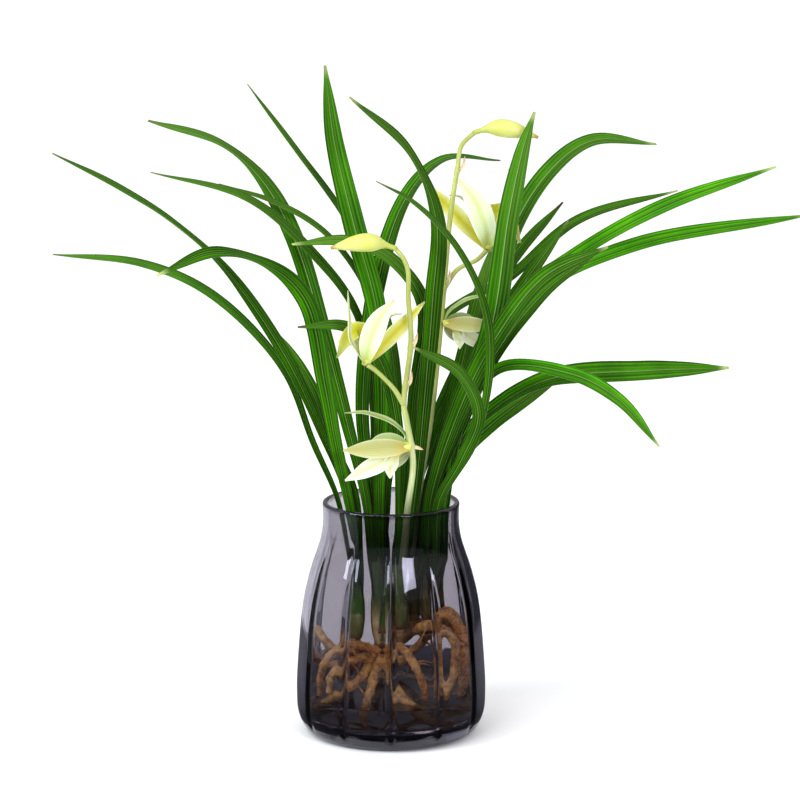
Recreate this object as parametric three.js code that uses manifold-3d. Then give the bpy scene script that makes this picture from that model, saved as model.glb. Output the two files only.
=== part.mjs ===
// Cymbidium orchid, bare-rooted, standing in a fluted smoked-glass vase with a little water.
// Millimetres, +Z up, origin at the centre of the vase's foot, +Y away from the viewer.
import * as THREE from "three";
import * as BufferGeometryUtils from "three/addons/utils/BufferGeometryUtils.js";
import Module from "manifold-3d";

const wasm = await Module();
wasm.setup();

// Driving dimensions of the vase
const VASE_HEIGHT = 150;
const RIM_RADIUS = 43.5;
const WALL = 3.4;
const FLOOR_TOP = 10;
const FOOT_RADIUS = 49;
const FLUTES = 12;
const FLUTE_DEPTH = 0.9;
const FLUTE_FADE = 34;
const FLUTE_FOOT = 2;
const VASE_SIDES = 48;
const RIM_ROUNDING = 1.1;
// Inside, the flat floor turns up into the wall over these lengths
const FLOOR_CURVE = { across: 5.5, up: 3.5, top: 6, gap: 1.5 };
// Outside of the wall, [radius, height], from the foot up to where the neck runs straight
const VASE_SIDE = [
  [54.8, 3.6],
  [58.4, 12],
  [59.5, 28],
  [58.4, 52],
  [55.4, 84],
  [50.6, 106],
  [45.4, 123],
  [RIM_RADIUS, 134],
];

// Water and clearances
const WATER_LEVEL = 27;
const WATER_RADIUS = 54.6;
const CLEARANCE = 0.3;

// Blades: thickness at the edge and at the midrib, and the fold of each half from flat
const EDGE_THICKNESS = 0.6;
const MIDRIB_THICKNESS = 0.9;
const LEAF_STEPS = 15;
const TEPAL_STEPS = 5;
const BRACT_WIDTH = 4;
const BRACT_STEPS = 4;
const LEAF_FOLD = [42, 30, 20, 14, 12, 10];
const LEAF_SHAPE = [0.52, 0.57, 0.64, 0.74, 0.84, 0.92, 0.97, 1, 0.98, 0.88, 0.66, 0.07];
const TEPAL_FOLD = [30, 16, 14, 12];
const TEPAL_SHAPE = [0.3, 0.72, 0.96, 1, 0.86, 0.5, 0.09];
const NARROW_SHAPE = [0.5, 0.8, 1, 0.9, 0.75, 0.5, 0.15];

const COLOURS = {
  glass: 0x5b5866,
  water: 0x8f9a9c,
  leaf: 0x2f7a12,
  shoot: 0x5f7d2a,
  root: 0x7a4a1e,
  stem: 0xb9c46a,
  petal: 0xe6e8b4,
  lip: 0xf6f7e2,
  bud: 0xd6d36a,
};

// Faces around and steps along each kind of rod
const SHOOT_MESH = [8, 8];
const STEM_MESH = [6, 22];
const STALK_MESH = [6, 6];
const BUD_MESH = [10, 12];
const COLUMN_MESH = [6, 4];
const RHIZOME_MESH = [8, 12];
const ROOT_MESH = [5, 10];

// A shoot is a small bulb with the clasping leaf sheaths above it: points from its foot to the
// mouth of the sheaths, and the radius at each point
const SHOOTS = [
  { route: [[-23, -3, 55], [-22, -4, 67], [-21, -4, 84], [-22, -5, 106]], radii: [3, 6.5, 5, 7] },
  { route: [[-7, -5, 54], [-7, -8, 66], [-8, -8, 82], [-10, -8, 112]], radii: [3, 7, 4.8, 6.5] },
  { route: [[-8, 2, 54], [-7, 11, 69], [-8, 13, 87], [-9, 14, 106]], radii: [3, 6.5, 4.8, 7.5] },
  { route: [[6, -3, 62], [6, -5, 76], [5, -5, 92], [6, -7, 108]], radii: [3, 7, 5.2, 8.5] },
  { route: [[15, 6, 67], [15, 9, 82], [16, 10, 96], [17, 11, 110]], radii: [3, 7, 5.6, 8] },
  { route: [[23, -2, 69], [23, -6, 83], [23, -7, 97], [25, -7, 110]], radii: [3, 6.5, 5.2, 7.5] },
  { route: [[31, 3, 70], [29, 8, 84], [30, 8, 98], [32, 8, 110]], radii: [3, 6.5, 5.2, 7] },
];

// Leaves: the shoot that each grows from, route from the mouth of its sheaths through the vase's
// mouth to the tip, greatest width, and the roll along the leaf in degrees. Roll 0 turns the upper
// face to the viewer, and 90 or -90 turns it to the shoot's own axis.
const LEAVES = [
  { name: "leaf_01", shoot: 1, width: 9.5, roll: [50, 40, 20, 25, 86, 74, 64],
    route: [[-22, -5, 108], [-28, -4, 152], [-45, -8, 198], [-66, -13, 245], [-102, -24, 300],
      [-131, -34, 329], [-164, -46, 353], [-203, -62, 376]] },
  { name: "leaf_02", shoot: 1, width: 10, roll: [50, 30, 30],
    route: [[-20, 0, 108], [-24, 7, 152], [-37, 14, 180], [-49.5, 28, 213], [-59, 40, 228], [-74, 62, 248]] },
  { name: "leaf_03", shoot: 1, width: 8.5, roll: [60, 50, 52, 56, 58, 55, 60],
    route: [[-26, -3, 108], [-35, -2, 152], [-51, 6, 188], [-67, 16, 228], [-90, 28, 256],
      [-122, 46, 279], [-162, 64, 292.5], [-222, 92, 295]] },
  { name: "leaf_04", shoot: 1, width: 12, roll: [30, 20, 15, 10, 10, 10, 15, 50, 84, 28, 10],
    route: [[-20, -9, 108], [-27, -14, 152], [-35, -18, 192], [-41, -26, 229], [-52, -40, 283],
      [-73, -56, 306.5], [-105, -74, 317.5], [-139, -92, 306]] },
  { name: "leaf_05", shoot: 2, width: 12.5, roll: [20, 10, 5, 5, 5, 8, 15, 42, 80, 58, 38],
    route: [[-13, -10, 114], [-16, -9, 152], [-28, -4, 202], [-42, 4, 255], [-62, 24, 316],
      [-84, 44, 351], [-110, 60, 370.5], [-158, 88, 383]] },
  { name: "leaf_06", shoot: 3, width: 7.5, roll: [30, 40, 45, 45, 45, 58, 60],
    route: [[-13, 14, 108], [-14, 18, 152], [-12, 22, 198], [-21, 17, 264], [-49, 8, 306],
      [-89, 10, 340.5], [-151, 18, 356.5]] },
  { name: "leaf_07", shoot: 3, width: 6.5, roll: [30, 40, 55, 60, 58, 56],
    route: [[-9, 17, 108], [-8, 22, 152], [-6, 26, 210], [-10, 25, 267], [-38, 22, 314], [-69, 24, 335],
      [-109, 30, 348]] },
  { name: "leaf_08", shoot: 3, width: 7, roll: [20, 30, 45, 58, 60, 55],
    route: [[-5, 18, 108], [-2, 26, 152], [-5, 32, 209], [-11, 36, 273], [-26, 44, 318], [-60.5, 60, 366],
      [-93, 84, 407]] },
  { name: "leaf_09", shoot: 2, width: 14, roll: [20, 10, 5, 0, 5, 12, 20],
    route: [[-8, -5, 114], [-8, -4, 152], [-6, -3, 215], [-9, 4, 271], [-24, 18, 326], [-36, 34, 375],
      [-42, 54, 421]] },
  { name: "leaf_10", shoot: 4, width: 12.5, roll: [-20, -5, 5, 10, 15, 18, 22, 42, 76, 58, 46],
    route: [[9, -8, 110], [15, -7, 152], [21, -8, 216], [26, -12, 280], [28, -17, 330], [11, -26, 373.5],
      [-25, -40, 408]] },
  { name: "leaf_11", shoot: 6, width: 6.5, roll: [-30, -40, -50, 50, 55, 55],
    route: [[29, -7, 112], [33, -9, 152], [55, -20, 196], [60, -30, 267], [41, -36, 315], [14, -42, 344],
      [-9, -50, 358]] },
  { name: "leaf_12", shoot: 4, width: 10, roll: [-10, 0, 0, 5, 10, 12, 20, 44, 44, 20, 15],
    route: [[4, -2, 110], [9, 2, 152], [14, 2, 214], [20, -2, 275], [1, -9, 304], [-25, -16, 317],
      [-61, -26, 316.5]] },
  { name: "leaf_13", shoot: 4, width: 9, roll: [0, 10, 20, 20, 15],
    route: [[3, -9, 110], [5, -12, 152], [4, -13, 198], [-7, -22, 244], [-27, -33, 266], [-57, -46, 268]] },
  { name: "leaf_14", shoot: 3, width: 12, roll: [10, 5, 0, -5, -10, -15, -20, -36, -57, -80, -66],
    route: [[-9, 9, 108], [-12, 4, 152], [-18, 8, 207], [-9.5, 14, 282], [8.5, 30, 337], [32, 52, 360.5],
      [71, 84, 357.5]] },
  { name: "leaf_15", shoot: 6, width: 14.5, roll: [-20, -20, -10, 0, 0, -10],
    route: [[21, -5, 112], [25, -6, 152], [43, -8, 203], [63, -12, 264], [73, -12, 333], [81.5, -4, 372],
      [89.5, 10, 395]] },
  { name: "leaf_16", shoot: 5, width: 13, roll: [-20, -20, -20, -20, -22, -24, -26, -30, -43, -52, -55],
    route: [[20, 15, 112], [23, 18, 152], [45, 31, 209], [67, 38, 273], [79, 42, 320], [103, 56, 355],
      [129, 74, 371], [174, 106, 366]] },
  { name: "leaf_17", shoot: 7, width: 10, roll: [-20, -30, -35, -38, -30, -15],
    route: [[28, 8, 112], [30, 11, 152], [50, 15, 215], [75, 22, 270], [118, 20, 304.8], [169, -4, 337.5],
      [235, -34, 365]] },
  { name: "leaf_18", shoot: 5, width: 8.5, roll: [-10, -20, -40, -50, -45, -40],
    route: [[12, 11, 112], [12, 14, 152], [17, 18, 192], [30, 23, 259], [76, 26, 289], [118, 28, 325],
      [182, 36, 343]] },
  { name: "leaf_19", shoot: 5, width: 9.5, roll: [-20, -30, -35, -30],
    route: [[16.5, 18, 112], [17, 22, 152], [31, 35, 189], [54, 47, 252], [78, 54, 296], [112, 88, 330]] },
  { name: "leaf_20", shoot: 7, width: 10.5, roll: [-30, -35, -40, -42, -42, -42, -40],
    route: [[30, 5, 112], [32, 6, 152], [46, 8, 207], [64.5, 6, 252], [101, 8, 288.5], [157, 16, 311.5],
      [267, 34, 328]] },
  { name: "leaf_21", shoot: 6, width: 12.5, roll: [-30, -20, -20, -20],
    route: [[23, -10, 112], [25, -11, 152], [44, -16, 214], [66, -22, 259], [94, -38, 298],
      [131, -66, 320]] },
  { name: "leaf_22", shoot: 6, width: 9.5, roll: [-20, -22, -28, -32],
    route: [[25, -2, 112], [30, 2, 152], [49, 2, 208], [67.5, -2, 247], [96, -17, 286], [129, -42, 316]] },
  { name: "leaf_23", shoot: 5, width: 9.5, roll: [-20, -20, -25, -25],
    route: [[19, 6, 112], [24, 1, 152], [38, -2, 205], [56, -2, 247], [81, -3, 286], [110, -14, 330]] },
  { name: "leaf_24", shoot: 7, width: 14, roll: [-25, -40, -60, -50, -24, -15, -15],
    route: [[34, 11, 112], [34, 14, 152], [40, 18, 176], [64.5, 17, 205], [101, 22, 224], [159, 30, 228],
      [218, 48, 227]] },
  { name: "leaf_25", shoot: 7, width: 9.5, roll: [-20, -25, -45, -50, -18, -10],
    route: [[35, 3, 112], [36, -1, 152], [48, -3, 209], [69, -8, 236], [113, -28, 235.5], [140, -50, 223.5],
      [162, -84, 201]] },
  { name: "leaf_26", shoot: 6, width: 9, roll: [-20, -25, -25, -20, -10, 0, 18, 45, 38, 15, 10],
    route: [[28, -13, 112], [30, -18, 152], [44, -26, 181], [54, -38, 212], [42, -50, 240],
      [14, -74, 260]] },
  { name: "leaf_27", shoot: 7, width: 11, roll: [-20, -25, -30],
    route: [[30, 14, 112], [29, 21, 152], [41, 28, 169], [64, 39, 191], [113, 76, 219.5]] },
  { name: "leaf_28", shoot: 5, width: 8.5, roll: [-10, -20, -30],
    route: [[12.5, 14.5, 112], [10, 26, 152], [31, 43, 200], [56, 60, 250], [80, 92, 283]] },
  { name: "leaf_29", shoot: 5, width: 10, roll: [-10, -20, -20],
    route: [[22, 10, 112], [23, 10, 152], [34, 13, 190], [50, 17, 256], [59, 22, 291], [65, 34, 310]] },
  { name: "leaf_30", shoot: 3, width: 8.5, roll: [0, 0, 10],
    route: [[-4, 11, 108], [-3, 8, 152], [1, 12, 187], [3, 20, 217], [-1, 36, 250], [-9, 62, 276]] },
];

// Flower spikes: stem from between the shoots to the bud, side stalks to the open blooms
const SPIKES = [
  { name: "spike_left",
    stem: [[7, -13, 108], [10.5, -18, 148], [13.8, -28, 180], [9.7, -34, 208], [8, -35, 218],
      [12.4, -39, 258], [10.8, -41, 286], [10.6, -42, 302], [8.3, -43, 309], [3, -43, 316]],
    radii: [2.4, 2.3, 2, 1.9, 2, 1.7, 1.7, 1.5, 1.5, 1.4],
    stalks: [{ route: [[8, -35, 218], [2, -37, 228], [-9, -41, 240], [-14, -43, 244]], radius: 1.3 }],
    bracts: [
      [[9.6, -36, 229], [12, -37.5, 233], [13, -38, 239]],
      [[12.4, -39, 254], [15, -40, 258], [16.5, -41, 264]],
      [[13, -30.5, 191], [17, -31.5, 190], [20, -32.5, 189]],
    ] },
  { name: "spike_right",
    stem: [[13, 6, 112], [17, 7, 150], [25, 7, 200], [31, 4, 260], [37, 2, 330], [41.5, 5, 360],
      [44, 7.5, 374], [52, 9, 382]],
    radii: [2.4, 2.3, 2, 1.9, 1.8, 1.7, 1.5, 1.4],
    stalks: [{ route: [[33, 3, 285], [42, 4, 297], [54, 4, 303], [60, 4, 309]], radius: 1.3 }],
    bracts: [
      [[42, 5, 358], [45, 3, 362], [46, 2, 368]],
      [[33, 3, 285], [36, 2, 290], [37, 1, 297]],
    ] },
];

// Buds: route from the stem's end to the tip, with the radius at each point
const BUDS = [
  { name: "bud_left",
    radii: [1.6, 5.4, 5.8, 4.7, 2.7, 0.6],
    route: [[2, -43, 316.4], [-5, -43, 318.6], [-12, -44, 319.8], [-21, -44, 319.3], [-29, -44, 318],
      [-36.5, -44, 316.4]] },
  { name: "bud_right",
    radii: [1.6, 5.2, 6, 5, 2.7, 0.6],
    route: [[53, 9, 382.4], [60.5, 10, 384.4], [68, 11, 384.8], [76.5, 12, 383.4], [84.5, 12, 381.2],
      [92, 12, 378.8]] },
];

// The tepals of the two kinds of open bloom, as routes from the bloom's centre; mirrored copies
// stand on the right spike
const NODDING_BLOOM = {
  tepals: [
    { width: 13, roll: [10, 0, 0], route: [[0, 0, 0], [-13, -4, 0.6], [-27, -6, 0], [-41, -5, -1]] },
    { width: 6, roll: [76, 72, 66],
      route: [[0, 1, 1], [-3, 2, 8], [-11, 3, 15], [-26, 3, 21], [-40, 2, 21.5]] },
    { width: 11, roll: [20, 30, 30], route: [[0, 2, 0], [-8, 6, 2], [-17, 10, 2], [-27, 13, -2]] },
    { width: 9, roll: [10, 0, 0], route: [[0, 2, -1], [-3, 8, -5], [-8, 12, -11], [-15, 14, -18]] },
    { width: 9, roll: [10, 0, 0], route: [[0, 1, -1], [-5, 7, -4], [-13, 11, -8], [-23, 14, -14]] },
  ],
  lip: [
    { width: 12, roll: [0, 0, 0], route: [[-5, 2, -2], [-13, 3, -7], [-26, 2, -14], [-40, 0, -21]] },
    { width: 10, roll: [0, 0, 0], route: [[-8, 2.5, -2], [-11, 3.5, -9], [-12, 3.5, -15], [-12, 2, -20]] },
    { width: 10, roll: [40, 50, 50], route: [[-10, 2.2, -4], [-16, 7, -9], [-21, 9, -14], [-24, 8, -20]] },
  ],
  column: { route: [[1, 1, 0], [-3, 1, 1], [-8, 1.5, 0.5]], radii: [2.8, 2.2, 1.5] },
};
const RISING_BLOOM = {
  tepals: [
    { width: 14.5, roll: [0, 0, 0], route: [[0, 0, 0], [1, -3, 8], [4, -5, 19], [9, -4, 29], [17, -2, 39]] },
    { width: 10, roll: [0, 0, 0], route: [[1, 2, 0], [10, 5, 10], [20, 9, 20], [36, 13, 36]] },
    { width: 11, roll: [0, 0, 10], route: [[0, 3, 1], [0, 6, 12], [-4, 5, 20], [-10, 3, 17], [-18, 0, 3]] },
    { width: 6, roll: [70, 74, 78],
      route: [[-1, -1, 0], [-6, -3, 8], [-10, -4, 16], [-10.5, -3, 31], [-11, -1, 45]] },
    { width: 8, roll: [70, 70, 72],
      route: [[1, 4, 1], [6, 10, 14], [11, 12, 24], [16, 12, 28], [22, 11, 28.5]] },
  ],
  lip: [
    { width: 8, roll: [20, 30, 30], route: [[-3, 5, 8], [-6, 6, 11], [-11, 7, 14], [-17, 6, 12]] },
    { width: 6, roll: [60, 60, 60], route: [[-4, 5, 7], [-5, 8, 11], [-7, 10, 13], [-10, 11, 12]] },
  ],
  column: { route: [[0, 0, -0.5], [0, 3, 3], [0, 6, 8]], radii: [2.8, 2.2, 1.5] },
};
const BLOOMS = [
  { place: "left_low", kind: NODDING_BLOOM, centre: [11.5, -33, 190.5], mirror: 1, scale: 1 },
  { place: "left_high", kind: RISING_BLOOM, centre: [-15, -44, 245.5], mirror: 1, scale: 1 },
  { place: "right_low", kind: NODDING_BLOOM, centre: [33.5, 0, 263], mirror: -1, scale: 0.81 },
  { place: "right_high", kind: RISING_BLOOM, centre: [61, 4, 310], mirror: -1, scale: 1.12 },
];

// Thick fleshy roots from the short rhizome, with the radius at each point
const RHIZOME = [[-25, -3, 53], [-7, -3, 52], [6, -2, 61], [16, 5, 66], [25, 0, 68], [33, 3, 69]];
const RHIZOME_RADIUS = 4.6;
const ROOTS = [
  { route: [[-8, -8, 54], [-22, -24, 62], [-34, -32, 60], [-42, -30, 48], [-44, -26, 30]], radius: 2.6 },
  { route: [[-10, -6, 52], [-24, -26, 52], [-36, -34, 46], [-38, -36, 34]], radius: 2.7 },
  { route: [[-12, -6, 50], [-20, -28, 40], [-34, -34, 32], [-45, -22, 20], [-44, -6, 12]], radius: 2.8 },
  { route: [[-7, -8, 50], [-12, -28, 38], [-16, -36, 20], [-14, -38, 12]], radius: 2.9 },
  { route: [[-5, -8, 50], [2, -26, 36], [14, -36, 24], [26, -34, 14], [34, -26, 12.2]], radius: 3.2 },
  { route: [[-8, 0, 50], [-26, 10, 44], [-40, 14, 38], [-48, 4, 46], [-50, -8, 58]], radius: 2.8 },
  { route: [[-6, 4, 50], [-10, 26, 40], [-2, 42, 30], [14, 42, 16], [30, 34, 12]], radius: 2.8 },
  { route: [[4, -3, 58], [12, -18, 52], [20, -22, 36], [22, -20, 20]], radius: 2.6 },
  { route: [[14, 2, 64], [26, -14, 72], [38, -20, 66], [40, -22, 48], [34, -26, 30], [30, -30, 24]],
    radius: 3.2 },
  { route: [[20, 3, 66], [36, -6, 78], [44, -8, 66], [46, -14, 46], [44, -14, 24]], radius: 3.4 },
  { route: [[26, 2, 68], [40, 12, 66], [46, 14, 50], [46, 10, 28], [41, 2, 12]], radius: 2.8 },
  { route: [[18, 6, 64], [22, 24, 54], [16, 36, 44], [0, 34, 30], [-18, 30, 16]], radius: 2.8 },
  { route: [[-20, -3, 52], [-36, -10, 56], [-46, -10, 68], [-48, 4, 64], [-42, 20, 50]], radius: 2.5 },
  { route: [[-22, -2, 50], [-28, 18, 32], [-34, 28, 16], [-22, 38, 12]], radius: 2.6 },
];
// Radius along a root as a share of the radius given for it
const ROOT_TAPER = [0.9, 1, 1, 0.9, 0.55];

function toVector([x, y, z]) {
  return new THREE.Vector3(x, y, z);
}

function curveThrough(points) {
  return new THREE.CatmullRomCurve3(points.map(toVector));
}

// Value at a fraction of a list whose entries stand evenly from 0 to 1
function sample(values, fraction) {
  const place = THREE.MathUtils.clamp(fraction, 0, 1) * (values.length - 1);
  const index = Math.min(Math.floor(place), values.length - 2);
  return THREE.MathUtils.lerp(values[index], values[index + 1], place - index);
}

function geometryFrom(points, faces) {
  const geometry = new THREE.BufferGeometry();
  const values = points.flatMap((p) => [p.x, p.y, p.z]);
  geometry.setAttribute("position", new THREE.Float32BufferAttribute(values, 3));
  geometry.setIndex(faces.flat());
  return geometry;
}

// Closes a row of rings, each of the same number of points, with a fan of faces at both ends. The
// second half of each ring is split along the other diagonal, so that a blade's lower face, which
// runs backwards, has the same triangles as its upper face.
function skinRings(rings) {
  const sides = rings[0].length;
  const faces = [];
  for (let ring = 0; ring < rings.length - 1; ring += 1) {
    for (let side = 0; side < sides; side += 1) {
      const a = ring * sides + side;
      const b = ring * sides + ((side + 1) % sides);
      if (side < sides / 2) faces.push([a, b, b + sides], [a, b + sides, a + sides]);
      else faces.push([a, b, a + sides], [b, b + sides, a + sides]);
    }
  }
  const last = (rings.length - 1) * sides;
  for (let side = 1; side < sides - 1; side += 1) {
    faces.push([0, side + 1, side], [last, last + side, last + side + 1]);
  }
  return geometryFrom(rings.flat(), faces);
}

// A thin blade folded along its midrib. Each ring runs along the upper face from the left edge to
// the right one, and back along the lower face.
function bladeRings({ route, width, roll }, shape, fold, steps, swell = 0) {
  const curve = curveThrough(route);
  const rings = [];
  for (let step = 0; step <= steps; step += 1) {
    const fraction = step / steps;
    const centre = curve.getPointAt(fraction);
    const tangent = curve.getTangentAt(fraction);
    const towardsViewer = new THREE.Vector3(0, -1, 0).addScaledVector(tangent, tangent.y).normalize();
    const turn = THREE.MathUtils.degToRad(sample(roll, fraction));
    const normal = towardsViewer.applyAxisAngle(tangent, turn);
    const across = new THREE.Vector3().crossVectors(tangent, normal);
    const tilt = THREE.MathUtils.degToRad(sample(fold, fraction));
    const half = (width / 2) * sample(shape, fraction) + swell;
    const reach = half * Math.cos(tilt);
    const lift = half * Math.sin(tilt);
    const place = (side, height) => (
      centre.clone().addScaledVector(across, side).addScaledVector(normal, height)
    );
    const edge = EDGE_THICKNESS / Math.cos(tilt);
    const rib = MIDRIB_THICKNESS / Math.cos(tilt);
    rings.push([
      place(-reach, lift + swell),
      place(0, swell),
      place(reach, lift + swell),
      place(reach, lift - edge - swell),
      place(0, -rib - swell),
      place(-reach, lift - edge - swell),
    ]);
  }
  return rings;
}

function bladeGeometry(blade, shape, fold, steps, swell = 0) {
  return skinRings(bladeRings(blade, shape, fold, steps, swell));
}

// Moves a ring along the axis of a shoot, so that it lies flat just above the mouth of its sheaths
function seatRing(ring, { route }) {
  const curve = curveThrough(route);
  const mouth = curve.getPointAt(1);
  const axis = curve.getTangentAt(1);
  for (const point of ring) {
    const height = point.clone().sub(mouth).dot(axis);
    point.addScaledVector(axis, CLEARANCE - height);
  }
}

function leafGeometry(leaf) {
  const rings = bladeRings(leaf, LEAF_SHAPE, LEAF_FOLD, LEAF_STEPS);
  seatRing(rings[0], SHOOTS[leaf.shoot - 1]);
  return skinRings(rings);
}

// A round rod of changing radius along a route, with a swell on its side and both ends
function rodGeometry(route, radii, [sides, steps], swell = 0) {
  const curve = curveThrough(route);
  const frames = curve.computeFrenetFrames(steps, false);
  const rings = [];
  for (let step = 0; step <= steps; step += 1) {
    const fraction = step / steps;
    const overrun = swell * (Number(step === steps) - Number(step === 0));
    const centre = curve.getPointAt(fraction).addScaledVector(frames.tangents[step], overrun);
    const radius = sample(radii, fraction) + swell;
    const ring = [];
    for (let side = 0; side < sides; side += 1) {
      const angle = (side / sides) * Math.PI * 2;
      ring.push(centre.clone()
        .addScaledVector(frames.normals[step], Math.cos(angle) * radius)
        .addScaledVector(frames.binormals[step], Math.sin(angle) * radius));
    }
    rings.push(ring);
  }
  return skinRings(rings);
}

function toSolid(geometry) {
  const bare = new THREE.BufferGeometry();
  bare.setAttribute("position", geometry.getAttribute("position"));
  bare.setIndex(geometry.getIndex());
  const merged = BufferGeometryUtils.mergeVertices(bare, 1e-4);
  return new wasm.Manifold(new wasm.Mesh({
    numProp: 3,
    vertProperties: new Float32Array(merged.getAttribute("position").array),
    triVerts: new Uint32Array(merged.getIndex().array),
  }));
}

function fromSolid(solid) {
  const mesh = solid.getMesh();
  const geometry = new THREE.BufferGeometry();
  geometry.setAttribute("position", new THREE.Float32BufferAttribute(mesh.vertProperties, 3));
  geometry.setIndex(new THREE.BufferAttribute(new Uint32Array(mesh.triVerts), 1));
  return geometry;
}

function join(geometries) {
  const solids = geometries.map(toSolid);
  return solids.slice(1).reduce((whole, solid) => whole.add(solid), solids[0]);
}

// Flutes swell the wall between the neck and the foot, and fade out at both
function fluteSwell(height) {
  const { smoothstep } = THREE.MathUtils;
  const rise = smoothstep(height, FLUTE_FOOT, FLUTE_FOOT + FLUTE_FADE / 2);
  const fall = smoothstep(height, VASE_HEIGHT - 2 * FLUTE_FADE, VASE_HEIGHT - FLUTE_FADE / 4);
  return FLUTE_DEPTH * rise * (1 - fall);
}

function revolve(profile, sides) {
  const lathe = new THREE.LatheGeometry(profile.map(([r, z]) => new THREE.Vector2(r, z)), sides);
  lathe.rotateX(Math.PI / 2);
  const position = lathe.getAttribute("position");
  for (let index = 0; index < position.count; index += 1) {
    const x = position.getX(index);
    const y = position.getY(index);
    const radius = Math.hypot(x, y);
    if (radius < 1) continue;
    const wave = Math.cos(FLUTES * (Math.atan2(y, x) - Math.PI / FLUTES));
    const scale = (radius + fluteSwell(position.getZ(index)) * wave) / radius;
    position.setXY(index, x * scale, y * scale);
  }
  return lathe;
}

// Inside of the wall from the middle of the floor up to the neck, held in by an inset
function vaseInside(inset) {
  const side = VASE_SIDE.filter(([, z]) => z > FLOOR_TOP + FLOOR_CURVE.top);
  const floor = FLOOR_TOP + inset;
  const cornerRadius = side[0][0] - WALL - inset - FLOOR_CURVE.gap;
  return [
    [0, floor],
    [cornerRadius - FLOOR_CURVE.across, floor],
    [cornerRadius, floor + FLOOR_CURVE.up],
    ...side.map(([r, z]) => [r - WALL - inset, z]),
  ];
}

function vaseGeometry() {
  const outside = [
    [0, 0],
    [FOOT_RADIUS, 0],
    ...VASE_SIDE,
    [RIM_RADIUS, VASE_HEIGHT - RIM_ROUNDING],
    [RIM_RADIUS - RIM_ROUNDING, VASE_HEIGHT],
    [RIM_RADIUS - WALL + RIM_ROUNDING, VASE_HEIGHT],
    [RIM_RADIUS - WALL, VASE_HEIGHT - RIM_ROUNDING],
  ];
  return revolve([...outside, ...vaseInside(0).reverse()], VASE_SIDES);
}

function rootGeometries(swell) {
  const rootRods = ROOTS.map(({ route, radius }) => {
    const radii = ROOT_TAPER.map((share) => share * radius);
    return rodGeometry(route, radii, ROOT_MESH, swell);
  });
  const rhizomeRod = rodGeometry(RHIZOME, [RHIZOME_RADIUS, RHIZOME_RADIUS], RHIZOME_MESH, swell);
  return [rhizomeRod, ...rootRods];
}

function shootGeometry({ route, radii }, swell) {
  return rodGeometry(route, radii, SHOOT_MESH, swell);
}

function waterGeometry() {
  const side = vaseInside(CLEARANCE).filter(([, z]) => z < WATER_LEVEL);
  return revolve([...side, [WATER_RADIUS, WATER_LEVEL], [0, WATER_LEVEL]], VASE_SIDES);
}

function bloomSolid(parts, column, { centre, mirror, scale }, swell = 0) {
  const place = (route) => route.map(([x, y, z]) => [
    centre[0] + mirror * scale * x,
    centre[1] + scale * y,
    centre[2] + scale * z,
  ]);
  const blades = parts.map(({ width, roll, route }) => {
    const blade = { width: width * scale, roll: roll.map((r) => r * mirror), route: place(route) };
    return bladeGeometry(blade, TEPAL_SHAPE, TEPAL_FOLD, TEPAL_STEPS, swell);
  });
  if (column) blades.push(rodGeometry(place(column.route), column.radii, COLUMN_MESH, swell));
  return join(blades);
}

// The largest of the pieces that a cut leaves
function largestPiece(solid) {
  return solid.decompose().reduce((best, piece) => (piece.volume() > best.volume() ? piece : best));
}

function spikeSolid({ stem, radii, stalks, bracts }, swell = 0) {
  const stemRod = rodGeometry(stem, radii, STEM_MESH, swell);
  const stalkRods = stalks.map(({ route, radius }) => (
    rodGeometry(route, [radius, radius], STALK_MESH, swell)
  ));
  const bractBlades = bracts.map((route) => {
    const blade = { route, width: BRACT_WIDTH, roll: [0, 0] };
    return bladeGeometry(blade, NARROW_SHAPE, TEPAL_FOLD, BRACT_STEPS, swell);
  });
  return join([stemRod, ...stalkRods, ...bractBlades]);
}

const plantInVase = new THREE.Group();

function addMesh(name, geometry, colour, roughness = 0.5) {
  const material = new THREE.MeshStandardMaterial({ color: colour, roughness, metalness: 0 });
  const mesh = new THREE.Mesh(geometry, material);
  mesh.name = name;
  plantInVase.add(mesh);
}

const swollenRoots = join(rootGeometries(CLEARANCE));
const bareRoots = SHOOTS.reduce(
  (mass, shoot) => mass.subtract(toSolid(shootGeometry(shoot, CLEARANCE))),
  join(rootGeometries(0)),
);
const swollenSpikes = SPIKES.map((spike) => spikeSolid(spike, CLEARANCE));
const clearOfSpikes = (solid) => swollenSpikes.reduce((rest, spike) => rest.subtract(spike), solid);

addMesh("vase", vaseGeometry(), COLOURS.glass, 0.08);
addMesh("water", fromSolid(toSolid(waterGeometry()).subtract(swollenRoots)), COLOURS.water, 0.05);
addMesh("roots", fromSolid(largestPiece(bareRoots)), COLOURS.root, 0.8);
SHOOTS.forEach((shoot, index) => addMesh(`shoot_${index + 1}`, shootGeometry(shoot, 0), COLOURS.shoot));
for (const leaf of LEAVES) {
  addMesh(leaf.name, leafGeometry(leaf), COLOURS.leaf, 0.4);
}
for (const spike of SPIKES) addMesh(spike.name, fromSolid(spikeSolid(spike)), COLOURS.stem);
for (const { name, route, radii } of BUDS) {
  addMesh(name, rodGeometry(route, radii, BUD_MESH), COLOURS.bud);
}
for (const bloom of BLOOMS) {
  const { tepals, column, lip } = bloom.kind;
  const flower = largestPiece(clearOfSpikes(bloomSolid(tepals, column, bloom)));
  const swollenFlower = bloomSolid(tepals, column, bloom, CLEARANCE);
  const lipSolid = largestPiece(bloomSolid(lip, null, bloom).subtract(swollenFlower));
  addMesh(`bloom_${bloom.place}`, fromSolid(flower), COLOURS.petal);
  addMesh(`lip_${bloom.place}`, fromSolid(lipSolid), COLOURS.lip);
}

export default plantInVase;
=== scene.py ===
import math
import random

import bmesh
import bpy
from mathutils import Matrix, Vector, noise


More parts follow.
